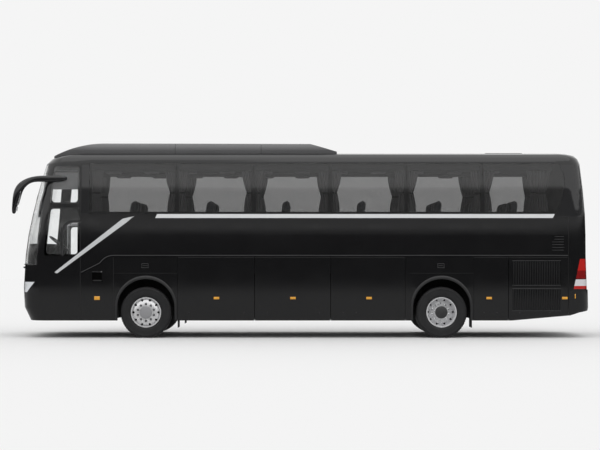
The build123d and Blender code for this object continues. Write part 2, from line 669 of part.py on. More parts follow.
# name, door, direction from the post to the leaf's middle
DOORS = (("front_door", FRONT_DOOR, 1), ("mid_door", MID_DOOR, -1))
for name, door, way in DOORS:
    front, rear, top = door
    door_shell = nose_shell if way > 0 else side_shell[1]
    glass_front = front + DOOR_GLASS_BORDER
    glass_rear = rear - DOOR_GLASS_BORDER
    glass_low = SILL_Z + DOOR_PANEL + DOOR_GLASS_BORDER
    glass_high = top - DOOR_GLASS_BORDER
    with BuildPart() as leaf:
        add(common(door_shell, door_zone(door, SEAM)))
        with BuildSketch(Plane.XZ.offset(-FAR)) as window:
            with Locations(((front + rear) / 2, (glass_low + glass_high) / 2)):
                RectangleRounded(glass_rear - glass_front, glass_high - glass_low, DOOR_GLASS_CORNER)
        extrude(amount=FAR, mode=Mode.SUBTRACT)
    glass_corners = [
        (glass_front, glass_low), (glass_rear, glass_low),
        (glass_rear, glass_high), (glass_front, glass_high),
    ]
    with BuildPart() as pane:
        add(common(skin, block((glass_front, glass_rear), RIGHT, (glass_low, glass_high))))
        add(side_prism(glass_corners, RIGHT, DOOR_GLASS_CORNER), mode=Mode.INTERSECT)
    post_x = front + POST_FROM_EDGE if way > 0 else rear - POST_FROM_EDGE
    post_y = HALF_WIDTH - POST_INSET
    arm_levels = (ARM_LOW_Z, top - ARM_BELOW_TOP)
    pin_x = post_x + way * ARM_REACH * cos(radians(ARM_START))
    pin_y = post_y + ARM_REACH * sin(radians(ARM_START))
    with BuildPart() as brackets:
        for level in arm_levels:
            with BuildSketch(Plane.XY.offset(level + BUSH / 2 + 1)):
                with Locations((pin_x, (pin_y + HALF_WIDTH - WALL) / 2)):
                    Rectangle(60, HALF_WIDTH - WALL - pin_y + 10)
                with Locations((pin_x, pin_y)):
                    Circle(28)
            extrude(amount=12)
            with BuildSketch(Plane.XY.offset(level - BUSH / 2)):
                with Locations((pin_x, pin_y)):
                    Circle(10)
            extrude(amount=BUSH + 2)
    with BuildPart() as leaf_full:
        add(leaf.part)
        add(brackets.part)
    save(leaf_full.part, name)
    save(pane.part, f"{name}_glass")
    with BuildPart() as arm:
        post_top = top - 2
        with Locations((post_x, post_y, (LOWEST_STEP_Z + 0.5 + post_top) / 2)):
            Cylinder(POST_RADIUS, post_top - LOWEST_STEP_Z - 0.5)
        for level in arm_levels:
            with BuildSketch(Plane.XY.offset(level - BUSH / 2)):
                with BuildLine() as run:
                    FilletPolyline(
                        (post_x, post_y), (post_x, post_y - ARM_BEND),
                        (post_x + way * ARM_STRAIGHT * ARM_REACH, post_y - ARM_BEND), (pin_x, pin_y),
                        radius=60,
                    )
                trace(run.line, line_width=2 * ARM_TUBE)
                with Locations((pin_x, pin_y)):
                    Circle(26)
            extrude(amount=BUSH)
            with Locations((pin_x, pin_y, level)):
                Cylinder(10 + PIN_GAP, BUSH + 2, mode=Mode.SUBTRACT)
    save(arm.part, f"{name}_arm")

# ---------------------------------------------------------------- mirrors and wipers
MIRROR_TIP_X = -TAIL_X - BUMPER_PROUD
MIRROR_Y = 1330
MIRROR_HEAD_WIDTH = 230
MIRROR_ARM_WIDTH = 80
# side view of the arm from its foot on the side to its tip, and of the mirror hanging from it
MIRROR_ARM = (
    (-4660, 3215), (-4720, 3130), (-5380, 3130), (-5540, 3060), (-5600, 2940),
    (MIRROR_TIP_X + 10, 2940), (MIRROR_TIP_X + 90, 3110), (-5560, 3230), (-5380, 3265), (-4760, 3262),
)
MIRROR_HEAD = (
    (-5600, 2990), (-5650, 2600), (-5655, 2470), (MIRROR_TIP_X + 15, 2455), (MIRROR_TIP_X, 2560),
    (MIRROR_TIP_X + 5, 2850), (MIRROR_TIP_X + 60, 3060), (-5620, 3130), (-5560, 3080),
)
with BuildPart() as mirrors:
    for side in (-1, 1):
        arm_span = sorted((side * (MIRROR_Y - 160), side * (MIRROR_Y - 160 + 2 * MIRROR_ARM_WIDTH)))
        head_span = (side * MIRROR_Y - MIRROR_HEAD_WIDTH / 2, side * MIRROR_Y + MIRROR_HEAD_WIDTH / 2)
        add(side_prism(MIRROR_ARM, arm_span, 22))
        add(side_prism(MIRROR_HEAD, head_span, 14))
    add(outer, mode=Mode.SUBTRACT)
save(mirrors.part, "mirrors")

WIPER_Z = 1395
WIPER_OFF = (10, 34)          # the arm's near and far face off the front
WIPER_ARM_Y = (230, 1020)
WIPER_ARM_HEIGHT = 30
SPINDLE_RADIUS = 26
SPINDLE_Y = 260
with BuildPart() as wipers:
    wiper_front = NOSE_X + 26     # foremost point of the front at that height
    with BuildSketch(Plane.XY.offset(WIPER_Z - WIPER_ARM_HEIGHT / 2)):
        with Locations((wiper_front + NOSE_BOW, 0)):
            Circle(NOSE_BOW + WIPER_OFF[1])
            Circle(NOSE_BOW + WIPER_OFF[0], mode=Mode.SUBTRACT)
        with Locations((wiper_front, 0)):
            Rectangle(800, 2 * WIPER_ARM_Y[1], mode=Mode.INTERSECT)
            Rectangle(800, 2 * WIPER_ARM_Y[0], mode=Mode.SUBTRACT)
    extrude(amount=WIPER_ARM_HEIGHT)
    with Locations(*((wiper_front + 40, side * SPINDLE_Y, WIPER_Z) for side in (-1, 1))):
        Cylinder(SPINDLE_RADIUS, 2 * (40 + WIPER_OFF[0] + 6), rotation=(0, 90, 0))
    add(outer, mode=Mode.SUBTRACT)
save(wipers.part, "wipers")

# ---------------------------------------------------------------- floor and steps
FLOOR_SLAB = 60
FLOOR_HALF = HALF_WIDTH - WALL - 12
STEP_OUTER = HALF_WIDTH - WALL - 51
FLOOR_FRONT_X = -3950
FLOOR_REAR_X = 5380
DUCT = (60, 140)              # heating duct along the walls, width and height
CAB_FLOOR_FRONT_X = -5450
WELL_FRONT_X = FRONT_DOOR[0] - 30
WELL_REAR_X = FRONT_DOOR[1] + 20
WELL_INNER_Y = 100
SHEET = 30
TREAD = 40
# outer edges of the treads in each entrance, from the door inwards
FRONT_EDGES = (STEP_OUTER, 820, 460, WELL_INNER_Y)
MID_EDGES = (STEP_OUTER, 990, 825, 660, 495, 330)
with BuildPart() as saloon_floor:
    add(block((FLOOR_FRONT_X, FLOOR_REAR_X), (-FLOOR_HALF, FLOOR_HALF), (FLOOR_Z - FLOOR_SLAB, FLOOR_Z)))
    add(block((FLOOR_FRONT_X, FLOOR_FRONT_X + SHEET), (-FLOOR_HALF, FLOOR_HALF),
              (DRIVER_FLOOR_Z - FLOOR_SLAB, FLOOR_Z)))
    for side in (-1, 1):
        duct_span = sorted((side * (FLOOR_HALF - DUCT[0]), side * FLOOR_HALF))
        wall_span = sorted((side * (FLOOR_HALF - DUCT[0]), side * (HALF_WIDTH - WALL)))
        add(block((FLOOR_FRONT_X, SIDE_REAR_X), duct_span, (FLOOR_Z, FLOOR_Z + DUCT[1])))
        add(block((FLOOR_FRONT_X, SIDE_REAR_X), wall_span, (BELT_Z - RAIL_HEIGHT + 6, FLOOR_Z + DUCT[1])))
    mid_well_x = (MID_DOOR[0] - 20, MID_DOOR[1] + 20)
    add(block(mid_well_x, (MID_EDGES[-1], FAR), (0, FAR)), mode=Mode.SUBTRACT)
    # driver's floor beside the entrance, and the treads and risers up to it
    cab_floor_z = (DRIVER_FLOOR_Z - FLOOR_SLAB, DRIVER_FLOOR_Z)
    add(block((CAB_FLOOR_FRONT_X, FLOOR_FRONT_X), (-FAR, WELL_INNER_Y), cab_floor_z))
    add(block((CAB_FLOOR_FRONT_X, WELL_FRONT_X), (WELL_INNER_Y, FAR), cab_floor_z))
    add(block((WELL_REAR_X, FLOOR_FRONT_X), (WELL_INNER_Y, FAR), cab_floor_z))
    for x in (WELL_FRONT_X, WELL_REAR_X):
        add(block((x, x + 20), (WELL_INNER_Y - SHEET, STEP_OUTER), (LOWEST_STEP_Z - TREAD, DRIVER_FLOOR_Z)))
    rise = (DRIVER_FLOOR_Z - LOWEST_STEP_Z) / (len(FRONT_EDGES) - 1)
    front_well_x = (FRONT_DOOR[0] - 10, WELL_REAR_X)
    for count, (edge, far_edge) in enumerate(zip(FRONT_EDGES[:-1], FRONT_EDGES[1:])):
        height = LOWEST_STEP_Z + rise * count
        add(block(front_well_x, (far_edge - SHEET, edge), (height - TREAD, height)))
        add(block(front_well_x, (far_edge - SHEET, far_edge), (height, height + rise)))
    for count in (1, 2):
        height = DRIVER_FLOOR_Z + 170 * count
        edge = FLOOR_FRONT_X - 180 * (3 - count)
        add(block((edge, FLOOR_FRONT_X), (WELL_INNER_Y - 200, FLOOR_HALF), (DRIVER_FLOOR_Z, height)))
    # treads and risers of the middle entrance
    mid_rise = (FLOOR_Z - LOWEST_STEP_Z) / (len(MID_EDGES) - 1)
    for count, (edge, far_edge) in enumerate(zip(MID_EDGES[:-1], MID_EDGES[1:])):
        height = LOWEST_STEP_Z + mid_rise * count
        add(block(mid_well_x, (far_edge - SHEET, edge), (height - TREAD, height)))
        add(block(mid_well_x, (far_edge - SHEET, far_edge), (height - TREAD, height + mid_rise)))
    add(inner, mode=Mode.INTERSECT)
save(saloon_floor.part, "saloon_floor")

# ---------------------------------------------------------------- luggage bays and wheel housings
BAY_FLOOR_Z = (SKIRT_Z + 25, SKIRT_Z + 75)
BAY_HALF = HALF_WIDTH - WALL - 45
BULKHEADS = (FRONT_ARCH_END + 20, PANEL_ENDS[2], PANEL_ENDS[3], MID_DOOR[0] - 40)
with BuildPart() as luggage_bays:
    add(block((FRONT_ARCH_END + 5, MID_DOOR[0] - 25), (-BAY_HALF, BAY_HALF), BAY_FLOOR_Z))
    add(block((MID_DOOR[0] - 25, POST_END), (-BAY_HALF, 300), BAY_FLOOR_Z))
    add(block((POST_END - SHEET, POST_END), (-BAY_HALF, 300), (BAY_FLOOR_Z[0], FLOOR_Z - FLOOR_SLAB)))
    add(block((MID_DOOR[0] - 25, POST_END), (270, 300), (BAY_FLOOR_Z[0], FLOOR_Z - FLOOR_SLAB)))
    for x in BULKHEADS:
        x_span = (x - SHEET / 2, x + SHEET / 2)
        add(block(x_span, (-BAY_HALF, BAY_HALF), (BAY_FLOOR_Z[0], FLOOR_Z - FLOOR_SLAB)))
save(luggage_bays.part, "luggage_bays")

HOUSING_SHEET = 12
AXLE_CUT = 340                # half length and top of the cut that lets the axle through
AXLE_CUT_TOP = 900
# axle, inner wall, half length, top
HOUSINGS = ((FRONT_AXLE_X, 530, 619, 1240), (REAR_AXLE_X, 590, 600, 1240))
with BuildPart() as wheel_housings:
    for axle_x, inner_y, half, top in HOUSINGS:
        for side in (-1, 1):
            full_span = sorted((side * inner_y, side * HALF_WIDTH))
            hollow_span = sorted((side * (inner_y + HOUSING_SHEET), side * FAR))
            axle_span = sorted((side * (inner_y - 10), side * (inner_y + 20)))
            hollow_half = half - HOUSING_SHEET
            add(block((axle_x - half, axle_x + half), full_span, (SKIRT_Z + 30, top)))
            add(block((axle_x - hollow_half, axle_x + hollow_half), hollow_span, (0, top - HOUSING_SHEET)),
                mode=Mode.SUBTRACT)
            add(block((axle_x - AXLE_CUT, axle_x + AXLE_CUT), axle_span, (0, AXLE_CUT_TOP)),
                mode=Mode.SUBTRACT)
    add(inner, mode=Mode.INTERSECT)
save(wheel_housings.part, "wheel_housings")

with BuildPart() as mud_flaps:
    for axle_x, inner_y, half, top in HOUSINGS:
        for side in (-1, 1):
            hang_x = FRONT_ARCH_END - 3 if axle_x < 0 else axle_x + half
            add(block((hang_x, hang_x + 8), sorted((side * 700, side * 1165)), (200, 520)))
save(mud_flaps.part, "mud_flaps")

# ---------------------------------------------------------------- running gear
FRAME_Y = 430
FRAME_RAIL = (80, 140)
FRAME_Z = 700
CROSS_MEMBERS = 5             # in each half of the frame
with BuildPart() as chassis_frame:
    for start, end in ((WELL_REAR_X + 30, FRONT_ARCH_END + 5), (POST_END, 5560)):
        for side in (-1, 1):
            y = side * FRAME_Y
            rail_span = (y - FRAME_RAIL[0] / 2, y + FRAME_RAIL[0] / 2)
            add(block((start, end), rail_span, (FRAME_Z, FRAME_Z + FRAME_RAIL[1])))
        for index in range(CROSS_MEMBERS):
            x = start + 60 + (end - start - 120) * index / (CROSS_MEMBERS - 1)
            add(block((x - 40, x + 40), (-FRAME_Y, FRAME_Y), (FRAME_Z + 20, FRAME_Z + 120)))
save(chassis_frame.part, "chassis_frame")

BEAM_Z = (TYRE_RADIUS - 50, TYRE_RADIUS + 50)
KNUCKLE_BOSS = 55
KINGPIN_RADIUS = 24
SPRING_RADIUS = 120
REAR_ARM_Z = (TYRE_RADIUS - 20, TYRE_RADIUS + 40)     # arms under the rear air springs
REAR_TUBE_RADIUS = 75
REAR_TUBE_HALF = 1000
DIFFERENTIAL = ((-210, 0), (-210, 80), (-110, 205), (110, 205), (210, 80), (210, 0))
with BuildPart() as axles:
    add(block((FRONT_AXLE_X - 50, FRONT_AXLE_X + 50), (-KINGPIN_Y + 30, KINGPIN_Y - 30), BEAM_Z))
    for side in (-1, 1):
        with Locations((FRONT_AXLE_X, side * KINGPIN_Y, TYRE_RADIUS)):
            Cylinder(KNUCKLE_BOSS, 120)
            Cylinder(KINGPIN_RADIUS, 190)
        with Locations((FRONT_AXLE_X, side * FRAME_Y, (BEAM_Z[1] + FRAME_Z) / 2)):
            Cylinder(SPRING_RADIUS, FRAME_Z - BEAM_Z[1])
        for shift in (-160, 160):
            with Locations((REAR_AXLE_X + shift, side * FRAME_Y, (REAR_ARM_Z[1] + FRAME_Z) / 2)):
                Cylinder(SPRING_RADIUS, FRAME_Z - REAR_ARM_Z[1])
        arm_span = (side * FRAME_Y - 60, side * FRAME_Y + 60)
        add(block((REAR_AXLE_X - 290, REAR_AXLE_X + 290), arm_span, REAR_ARM_Z))
    with Locations((REAR_AXLE_X, 0, TYRE_RADIUS)):
        Cylinder(REAR_TUBE_RADIUS, 2 * REAR_TUBE_HALF, rotation=(90, 0, 0))
    # differential housing: a drum with tapered ends round the tube
    with BuildSketch(Plane.YZ.offset(REAR_AXLE_X)):
        with BuildLine():
            Polyline(*((y, TYRE_RADIUS + radius) for y, radius in DIFFERENTIAL), close=True)
        make_face()
    revolve(axis=Axis((REAR_AXLE_X, 0, TYRE_RADIUS), (0, 1, 0)))
save(axles.part, "axles")

ENGINE_X = (4000, 5350)
save(block(ENGINE_X, (-400, 400), (FRAME_Z + FRAME_RAIL[1], FLOOR_Z - FLOOR_SLAB - 60)), "engine_block")

# ---------------------------------------------------------------- wheels
HUB_RADIUS = 60


def wheel_plane(x, y, side):
    """Plane through the axle: first axis outwards, second axis up."""
    return Plane(origin=(x, y, TYRE_RADIUS), x_dir=(0, side, 0), z_dir=(side, 0, 0))


# half profile of a tyre: distance from its middle, radius
TYRE_PROFILE = ((95, RIM_RADIUS), (TYRE_WIDTH / 2, 398), (TYRE_WIDTH / 2 - 24, TYRE_RADIUS))
RIM_HALF = 118
RIM_LIP = 14
RIM_SHEET = 16
HAND_HOLES = 10
HAND_HOLE_RADIUS = 20
HAND_HOLE_CIRCLE = 244


def tyre(x, y, side):
    with BuildPart() as ring:
        with BuildSketch(wheel_plane(x, y, side)):
            with BuildLine():
                near = [(-across, radius) for across, radius in TYRE_PROFILE]
                Polyline(*TYRE_PROFILE, *reversed(near), close=True)
            make_face()
        revolve(axis=Axis((x, y, TYRE_RADIUS), (0, 1, 0)))
    return ring.part


def rim(x, y, side, disc):
    """Rim ring with a disc whose face lies at the given distance outwards of the middle."""
    turn = 1 if disc > 0 else -1
    with BuildPart() as ring:
        with BuildSketch(wheel_plane(x, y, side)):
            with BuildLine():
                Polyline(
                    (-RIM_HALF, RIM_RADIUS + RIM_LIP), (-95, RIM_RADIUS), (95, RIM_RADIUS),
                    (RIM_HALF, RIM_RADIUS + RIM_LIP), (RIM_HALF, RIM_RADIUS - 4),
                    (95, RIM_RADIUS - RIM_SHEET), (-95, RIM_RADIUS - RIM_SHEET),
                    (-RIM_HALF, RIM_RADIUS - 4), close=True,
                )
            make_face()
            with BuildLine():
                Polyline(
                    (turn * 40, RIM_RADIUS - 10), (turn * 64, RIM_RADIUS - 10), (disc - turn * 14, 240),
                    (disc, 205), (disc, HUB_RADIUS), (disc - turn * 20, HUB_RADIUS), (disc - turn * 20, 195),
                    (disc - turn * 40, 228), close=True,
                )
            make_face()
        revolve(axis=Axis((x, y, TYRE_RADIUS), (0, 1, 0)))
        with Locations(Plane(origin=(x, y, TYRE_RADIUS), x_dir=(1, 0, 0), z_dir=(0, -1, 0))):
            with PolarLocations(HAND_HOLE_CIRCLE, HAND_HOLES):
                Cylinder(HAND_HOLE_RADIUS, 2 * RIM_HALF + 4 * RIM_SHEET, mode=Mode.SUBTRACT)
    return ring.part


DISC_OUT = 132                # outer face of a front disc off the middle of its tyre
HUB_CAP_RADIUS = 118
STUB_RADIUS = 45
ROD_PIN_RADIUS = 14
ROD_EYE_RADIUS = 24           # eyes at the ends of the tie rod, clear of the tyres
TIE_ROD_Z = TYRE_RADIUS - 112
for side in (-1, 1):
    where = SIDE_NAME[side]
    wheel_y = side * WHEEL_Y
    axis_plane = Plane(origin=(FRONT_AXLE_X, 0, TYRE_RADIUS), x_dir=(1, 0, 0), z_dir=(0, side, 0))
    save(tyre(FRONT_AXLE_X, wheel_y, side), f"front_tyre_{where}")
    with BuildPart() as front_rim:
        add(rim(FRONT_AXLE_X, wheel_y, side, DISC_OUT))
        with BuildSketch(axis_plane.offset(WHEEL_Y - 20)):
            Circle(HUB_CAP_RADIUS)
        extrude(amount=DISC_OUT + 53)
        with BuildSketch(axis_plane.offset(WHEEL_Y - 20)):
            Circle(STUB_RADIUS + PIN_GAP)
        extrude(amount=DISC_OUT, mode=Mode.SUBTRACT)
    save(front_rim.part, f"front_rim_{where}")
    with BuildPart() as knuckle:
        with BuildSketch(axis_plane.offset(KINGPIN_Y + KNUCKLE_BOSS + 8)):
            RectangleRounded(150, 190, 20)
        extrude(amount=70)
        with BuildSketch(axis_plane.offset(KINGPIN_Y + KNUCKLE_BOSS + 40)):
            Circle(STUB_RADIUS)
        extrude(amount=WHEEL_Y + 100 - KINGPIN_Y - KNUCKLE_BOSS - 40)
        for way in (-1, 1):
            with BuildSketch(Plane.XY.offset(TYRE_RADIUS + way * 78 - 15)):
                with Locations((FRONT_AXLE_X, side * KINGPIN_Y)):
                    Circle(KNUCKLE_BOSS)
                with Locations((FRONT_AXLE_X, side * (KINGPIN_Y + 50))):
                    Rectangle(2 * KNUCKLE_BOSS, 100)
                with Locations((FRONT_AXLE_X, side * KINGPIN_Y)):
                    Circle(KINGPIN_RADIUS + PIN_GAP, mode=Mode.SUBTRACT)
            extrude(amount=30)
        with BuildSketch(Plane.XY.offset(TYRE_RADIUS - 93)):
            with BuildLine() as arm_line:
                Line((FRONT_AXLE_X + 30, side * KINGPIN_Y), (FRONT_AXLE_X + STEER_ARM, side * KINGPIN_Y))
            trace(arm_line.line, line_width=50)
            with Locations((FRONT_AXLE_X + STEER_ARM, side * KINGPIN_Y)):
                Circle(34)
            with Locations((FRONT_AXLE_X, side * KINGPIN_Y)):
                Circle(KINGPIN_RADIUS + PIN_GAP, mode=Mode.SUBTRACT)
        extrude(amount=30)
        with Locations((FRONT_AXLE_X + STEER_ARM, side * KINGPIN_Y, TYRE_RADIUS - 110)):
            Cylinder(ROD_PIN_RADIUS, 40)
    save(knuckle.part, f"knuckle_{where}")

    outer_y = side * WHEEL_Y
    inner_y = side * (WHEEL_Y - TWIN_SPACING)
    with BuildPart() as rear_tyres:
        add(tyre(REAR_AXLE_X, outer_y, side))
        add(tyre(REAR_AXLE_X, inner_y, side))
    save(rear_tyres.part, f"rear_tyres_{where}")
    rear_plane = Plane(origin=(REAR_AXLE_X, 0, TYRE_RADIUS), x_dir=(1, 0, 0), z_dir=(0, side, 0))
    with BuildPart() as rear_rims:
        add(rim(REAR_AXLE_X, outer_y, side, -TWIN_SPACING / 2))
        add(rim(REAR_AXLE_X, inner_y, side, TWIN_SPACING / 2))
        with BuildSketch(rear_plane.offset(REAR_TUBE_HALF + 3)):
            Circle(HUB_CAP_RADIUS)
        extrude(amount=170)
        with BuildSketch(rear_plane.offset(WHEEL_Y - TWIN_SPACING / 2 - 40)):
            Circle(150)
        extrude(amount=120)
        with BuildSketch(rear_plane.offset(WHEEL_Y - TWIN_SPACING / 2 - 60)):
            Circle(REAR_TUBE_RADIUS + PIN_GAP)
        extrude(amount=REAR_TUBE_HALF + 3 - WHEEL_Y + TWIN_SPACING / 2 + 60, mode=Mode.SUBTRACT)
    save(rear_rims.part, f"rear_rims_{where}")

with BuildPart() as tie_rod:
    with Locations((FRONT_AXLE_X + STEER_ARM, 0, TIE_ROD_Z)):
        Cylinder(18, 2 * KINGPIN_Y - 20, rotation=(90, 0, 0))
    for side in (-1, 1):
        with Locations((FRONT_AXLE_X + STEER_ARM, side * KINGPIN_Y, TIE_ROD_Z)):
            Cylinder(ROD_EYE_RADIUS, 34)
            Cylinder(ROD_PIN_RADIUS + PIN_GAP, 60, mode=Mode.SUBTRACT)
save(tie_rod.part, "tie_rod")

# ---------------------------------------------------------------- cabin
with BuildPart() as dashboard:
    with BuildSketch(Plane.XZ.offset(1150)):
        with BuildLine():
            Polyline(
                (-5640, DRIVER_FLOOR_Z), (-5150, DRIVER_FLOOR_Z), (-5060, 1650), (-5000, 1780),
                (-5130, 1870), (-5640, 1860), close=True,
            )
        make_face()
    extrude(amount=-1650)
    add(inner, mode=Mode.INTERSECT)
save(dashboard.part, "dashboard")

WHEEL_CENTRE = (-4920, -640, 1880)
WHEEL_TILT = (0.6, 0, 0.8)    # direction of the steering column, upwards
COLUMN_MIDDLE = (-5010, -640, 1760)
with BuildPart() as steering_wheel:
    wheel_face = Plane(origin=WHEEL_CENTRE, x_dir=(0, 1, 0), z_dir=WHEEL_TILT)
    rim_section = Plane(origin=WHEEL_CENTRE, x_dir=(0, 1, 0), z_dir=wheel_face.y_dir)
    with BuildSketch(rim_section):
        with Locations((225, 0)):
            RegularPolygon(16, 8)
    revolve(axis=Axis(WHEEL_CENTRE, WHEEL_TILT))
    with Locations(wheel_face):
        Box(440, 50, 20)
        Cylinder(60, 30)
    with Locations(Plane(origin=COLUMN_MIDDLE, x_dir=(0, 1, 0), z_dir=WHEEL_TILT)):
        Cylinder(28, 310)
    add(dashboard.part, mode=Mode.SUBTRACT)
save(steering_wheel.part, "steering_wheel")


HEAD_REST = 260


def seat(width, places, back_top=1020):
    """Seat on a pedestal at the origin, facing -X: cushion, back and head rests."""
    with BuildPart() as bench:
        with BuildSketch(Plane.XZ.offset(-width / 2)):
            with BuildLine():
                Polyline(
                    (-250, 300), (190, 270), (380, back_top - 20), (290, back_top), (130, 460), (-250, 470),
                    close=True,
                )
            make_face()
        extrude(amount=width)
        for index in range(places):
            middle = width / places * (index - (places - 1) / 2)
            with BuildSketch(Plane.XZ.offset(-(middle + HEAD_REST / 2))):
                with BuildLine():
                    Polyline(
                        (290, back_top - 20), (380, back_top - 40), (420, back_top + 170),
                        (330, back_top + 170), close=True,
                    )
                make_face()
            extrude(amount=HEAD_REST)
        with Locations((0, 0, 150)):
            Box(120, width * 0.6, 300)
    return bench.part


SEAT_PITCH = 758
SEAT_FIRST_X = -3700
SEAT_PAIR = 900
SEAT_ROWS = 11
DRIVER_SEAT = (-4640, -640, DRIVER_FLOOR_Z)
SEAT_OUTER = HALF_WIDTH - 145
seat_places = []
for row in range(SEAT_ROWS):
    x = SEAT_FIRST_X + SEAT_PITCH * row
    seat_places.append((x, -SEAT_OUTER + SEAT_PAIR / 2, FLOOR_Z))
    if not MID_DOOR[0] - 500 < x < MID_DOOR[1] + 320:
        seat_places.append((x, SEAT_OUTER - SEAT_PAIR / 2, FLOOR_Z))
with BuildPart() as passenger_seats:
    with Locations(*seat_places):
        add(seat(SEAT_PAIR, 2))
save(passenger_seats.part, "passenger_seats")
with BuildPart() as driver_seat:
    with Locations(DRIVER_SEAT):
        add(seat(480, 1, 860))
save(driver_seat.part, "driver_seat")

RACK_X = (-3900, 4950)
# section of a rack: distance from the middle of the coach, height
RACK_SECTION = ((1220, 3440), (1220, 3282), (760, 3200), (735, 3290), (765, 3440))
with BuildPart() as luggage_racks:
    for side in (-1, 1):
        with BuildSketch(Plane.YZ.offset(RACK_X[0])):
            with BuildLine():
                Polyline(*((side * y, z) for y, z in RACK_SECTION), close=True)
            make_face()
        extrude(amount=RACK_X[1] - RACK_X[0])
    add(inner, mode=Mode.INTERSECT)
save(luggage_racks.part, "luggage_racks")

CURTAIN_Y = (1138, 1148)
rack_outer, rack_inner = RACK_SECTION[1:3]
RACK_SLOPE = (rack_outer[1] - rack_inner[1]) / (rack_outer[0] - rack_inner[0])
CURTAIN_Z = (WAIST_Z + 40, rack_outer[1] - RACK_SLOPE * (rack_outer[0] - CURTAIN_Y[0]) - SEAT_GAP)
CURTAIN_HALF = 150
with BuildPart() as curtains:
    for side in (-1, 1):
        for x in PILLARS:
            y_span = sorted((side * CURTAIN_Y[0], side * CURTAIN_Y[1]))
            add(block((x - CURTAIN_HALF, x + CURTAIN_HALF), y_span, CURTAIN_Z))
save(curtains.part, "curtains")
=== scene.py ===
"""Dressed model of a two-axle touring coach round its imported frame.

Metres.  X runs along the coach with the nose at -X, the driver's side is -Y and Z is up.
"""
import json
import math
import random

import bmesh
import bpy
from mathutils import Matrix, Vector
from mathutils.bvhtree import BVHTree


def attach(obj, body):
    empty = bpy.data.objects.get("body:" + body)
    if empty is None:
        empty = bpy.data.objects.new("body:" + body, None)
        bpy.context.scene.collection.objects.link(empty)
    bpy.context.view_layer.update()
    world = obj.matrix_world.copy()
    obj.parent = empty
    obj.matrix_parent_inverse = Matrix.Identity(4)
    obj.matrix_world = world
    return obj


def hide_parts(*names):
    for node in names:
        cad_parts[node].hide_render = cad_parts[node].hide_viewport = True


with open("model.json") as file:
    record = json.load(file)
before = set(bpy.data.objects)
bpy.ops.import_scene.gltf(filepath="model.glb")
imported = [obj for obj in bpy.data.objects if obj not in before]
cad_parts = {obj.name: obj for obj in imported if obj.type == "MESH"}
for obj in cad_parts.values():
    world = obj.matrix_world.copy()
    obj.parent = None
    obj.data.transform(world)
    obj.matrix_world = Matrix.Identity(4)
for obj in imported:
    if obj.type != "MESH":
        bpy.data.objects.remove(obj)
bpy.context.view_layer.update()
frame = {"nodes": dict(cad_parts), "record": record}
nodes = frame["nodes"]
record = frame["record"]
scene = bpy.context.scene

# ---------------------------------------------------------------- sizes shared with the frame
SIDES = ((-1, "left"), (1, "right"))
HALF_WIDTH = 1.275
ARCH_SEAM_Z = 1.283
BELT_Z = 1.634
FLOOR_Z = 1.560
DRIVER_FLOOR_Z = 1.050
FRONT_AXLE_X = -3.103
REAR_AXLE_X = 2.756
TYRE_RADIUS = 0.506
WHEEL_Y = 1.097
TWIN_SPACING = 0.320
PILLARS = (-2.495, -0.971, 0.544, 2.063, 3.573)
MID_DOOR = (1.257, 2.009)
CAB_GLASS_END = -4.26
RAY_SIDE = 2.0                # rays at a side start this far out
RAY_END = 7.0                 # rays at an end start this far from the middle


# ---------------------------------------------------------------- materials
def wire(tree, node, inputs):
    """Links each input to a socket, or sets it to a constant."""
    for key, value in inputs.items():
        if isinstance(value, bpy.types.NodeSocket):
            tree.links.new(value, node.inputs[key])
        else:
            node.inputs[key].default_value = value


def add_node(tree, kind, inputs, output=0):
    """One output of a new node with these inputs."""
    node = tree.nodes.new(kind)
    wire(tree, node, inputs)
    return node.outputs[output]


def maths(tree, operation, first, second):
    node = tree.nodes.new("ShaderNodeMath")
    node.operation = operation
    wire(tree, node, {0: first, 1: second})
    return node.outputs[0]


def mix_colour(tree, factor, low, high):
    """A mix of two colours by a factor socket."""
    node = tree.nodes.new("ShaderNodeMix")
    node.data_type = "RGBA"
    wire(tree, node, {0: factor, 6: (*low, 1), 7: (*high, 1)})
    return node.outputs[2]


def mix_shader(tree, factor, first, second):
    return add_node(tree, "ShaderNodeMixShader", {"Fac": factor, 1: first, 2: second})


def spread(tree, value, low, high, start=0.3, end=0.7):
    """A value between start and end carried to low and high."""
    inputs = {"Value": value, "From Min": start, "From Max": end, "To Min": low, "To Max": high}
    return add_node(tree, "ShaderNodeMapRange", inputs, "Result")


def own_place(tree):
    return add_node(tree, "ShaderNodeTexCoord", {}, "Object")


def noise(tree, scale, detail, stretch):
    """Noise over the object's own coordinates."""
    place = add_node(tree, "ShaderNodeMapping", {"Vector": own_place(tree), "Scale": stretch})
    return add_node(tree, "ShaderNodeTexNoise", {"Vector": place, "Scale": scale, "Detail": detail}, "Fac")


def relief(tree, height, strength, distance):
    inputs = {"Height": height, "Strength": strength, "Distance": distance}
    return add_node(tree, "ShaderNodeBump", inputs, "Normal")


def finish_material(
    name, colour, rough, metal=0.0, mottle=0.12, mottle_scale=2.5, rough_spread=0.05,
    grain=0.0, grain_scale=300, stretch=(1, 1, 1), **constants,
):
    """Principled material with mottled colour, uneven roughness and a fine grain."""
    material = bpy.data.materials.new(name)
    material.use_nodes = True
    tree = material.node_tree
    low = [c * (1 - mottle) for c in colour]
    high = [min(1, c * (1 + mottle)) for c in colour]
    wear = noise(tree, mottle_scale * 3, 5, stretch)
    inputs = {
        "Base Color": mix_colour(tree, noise(tree, mottle_scale, 4, stretch), low, high),
        "Roughness": spread(tree, wear, rough - rough_spread, rough + rough_spread),
        "Metallic": metal,
    }
    for key, value in constants.items():
        inputs[key.replace("_", " ")] = value
    if grain:
        inputs["Normal"] = relief(tree, noise(tree, grain_scale, 2, stretch), grain, 0.002)
    wire(tree, tree.nodes["Principled BSDF"], inputs)
    return material


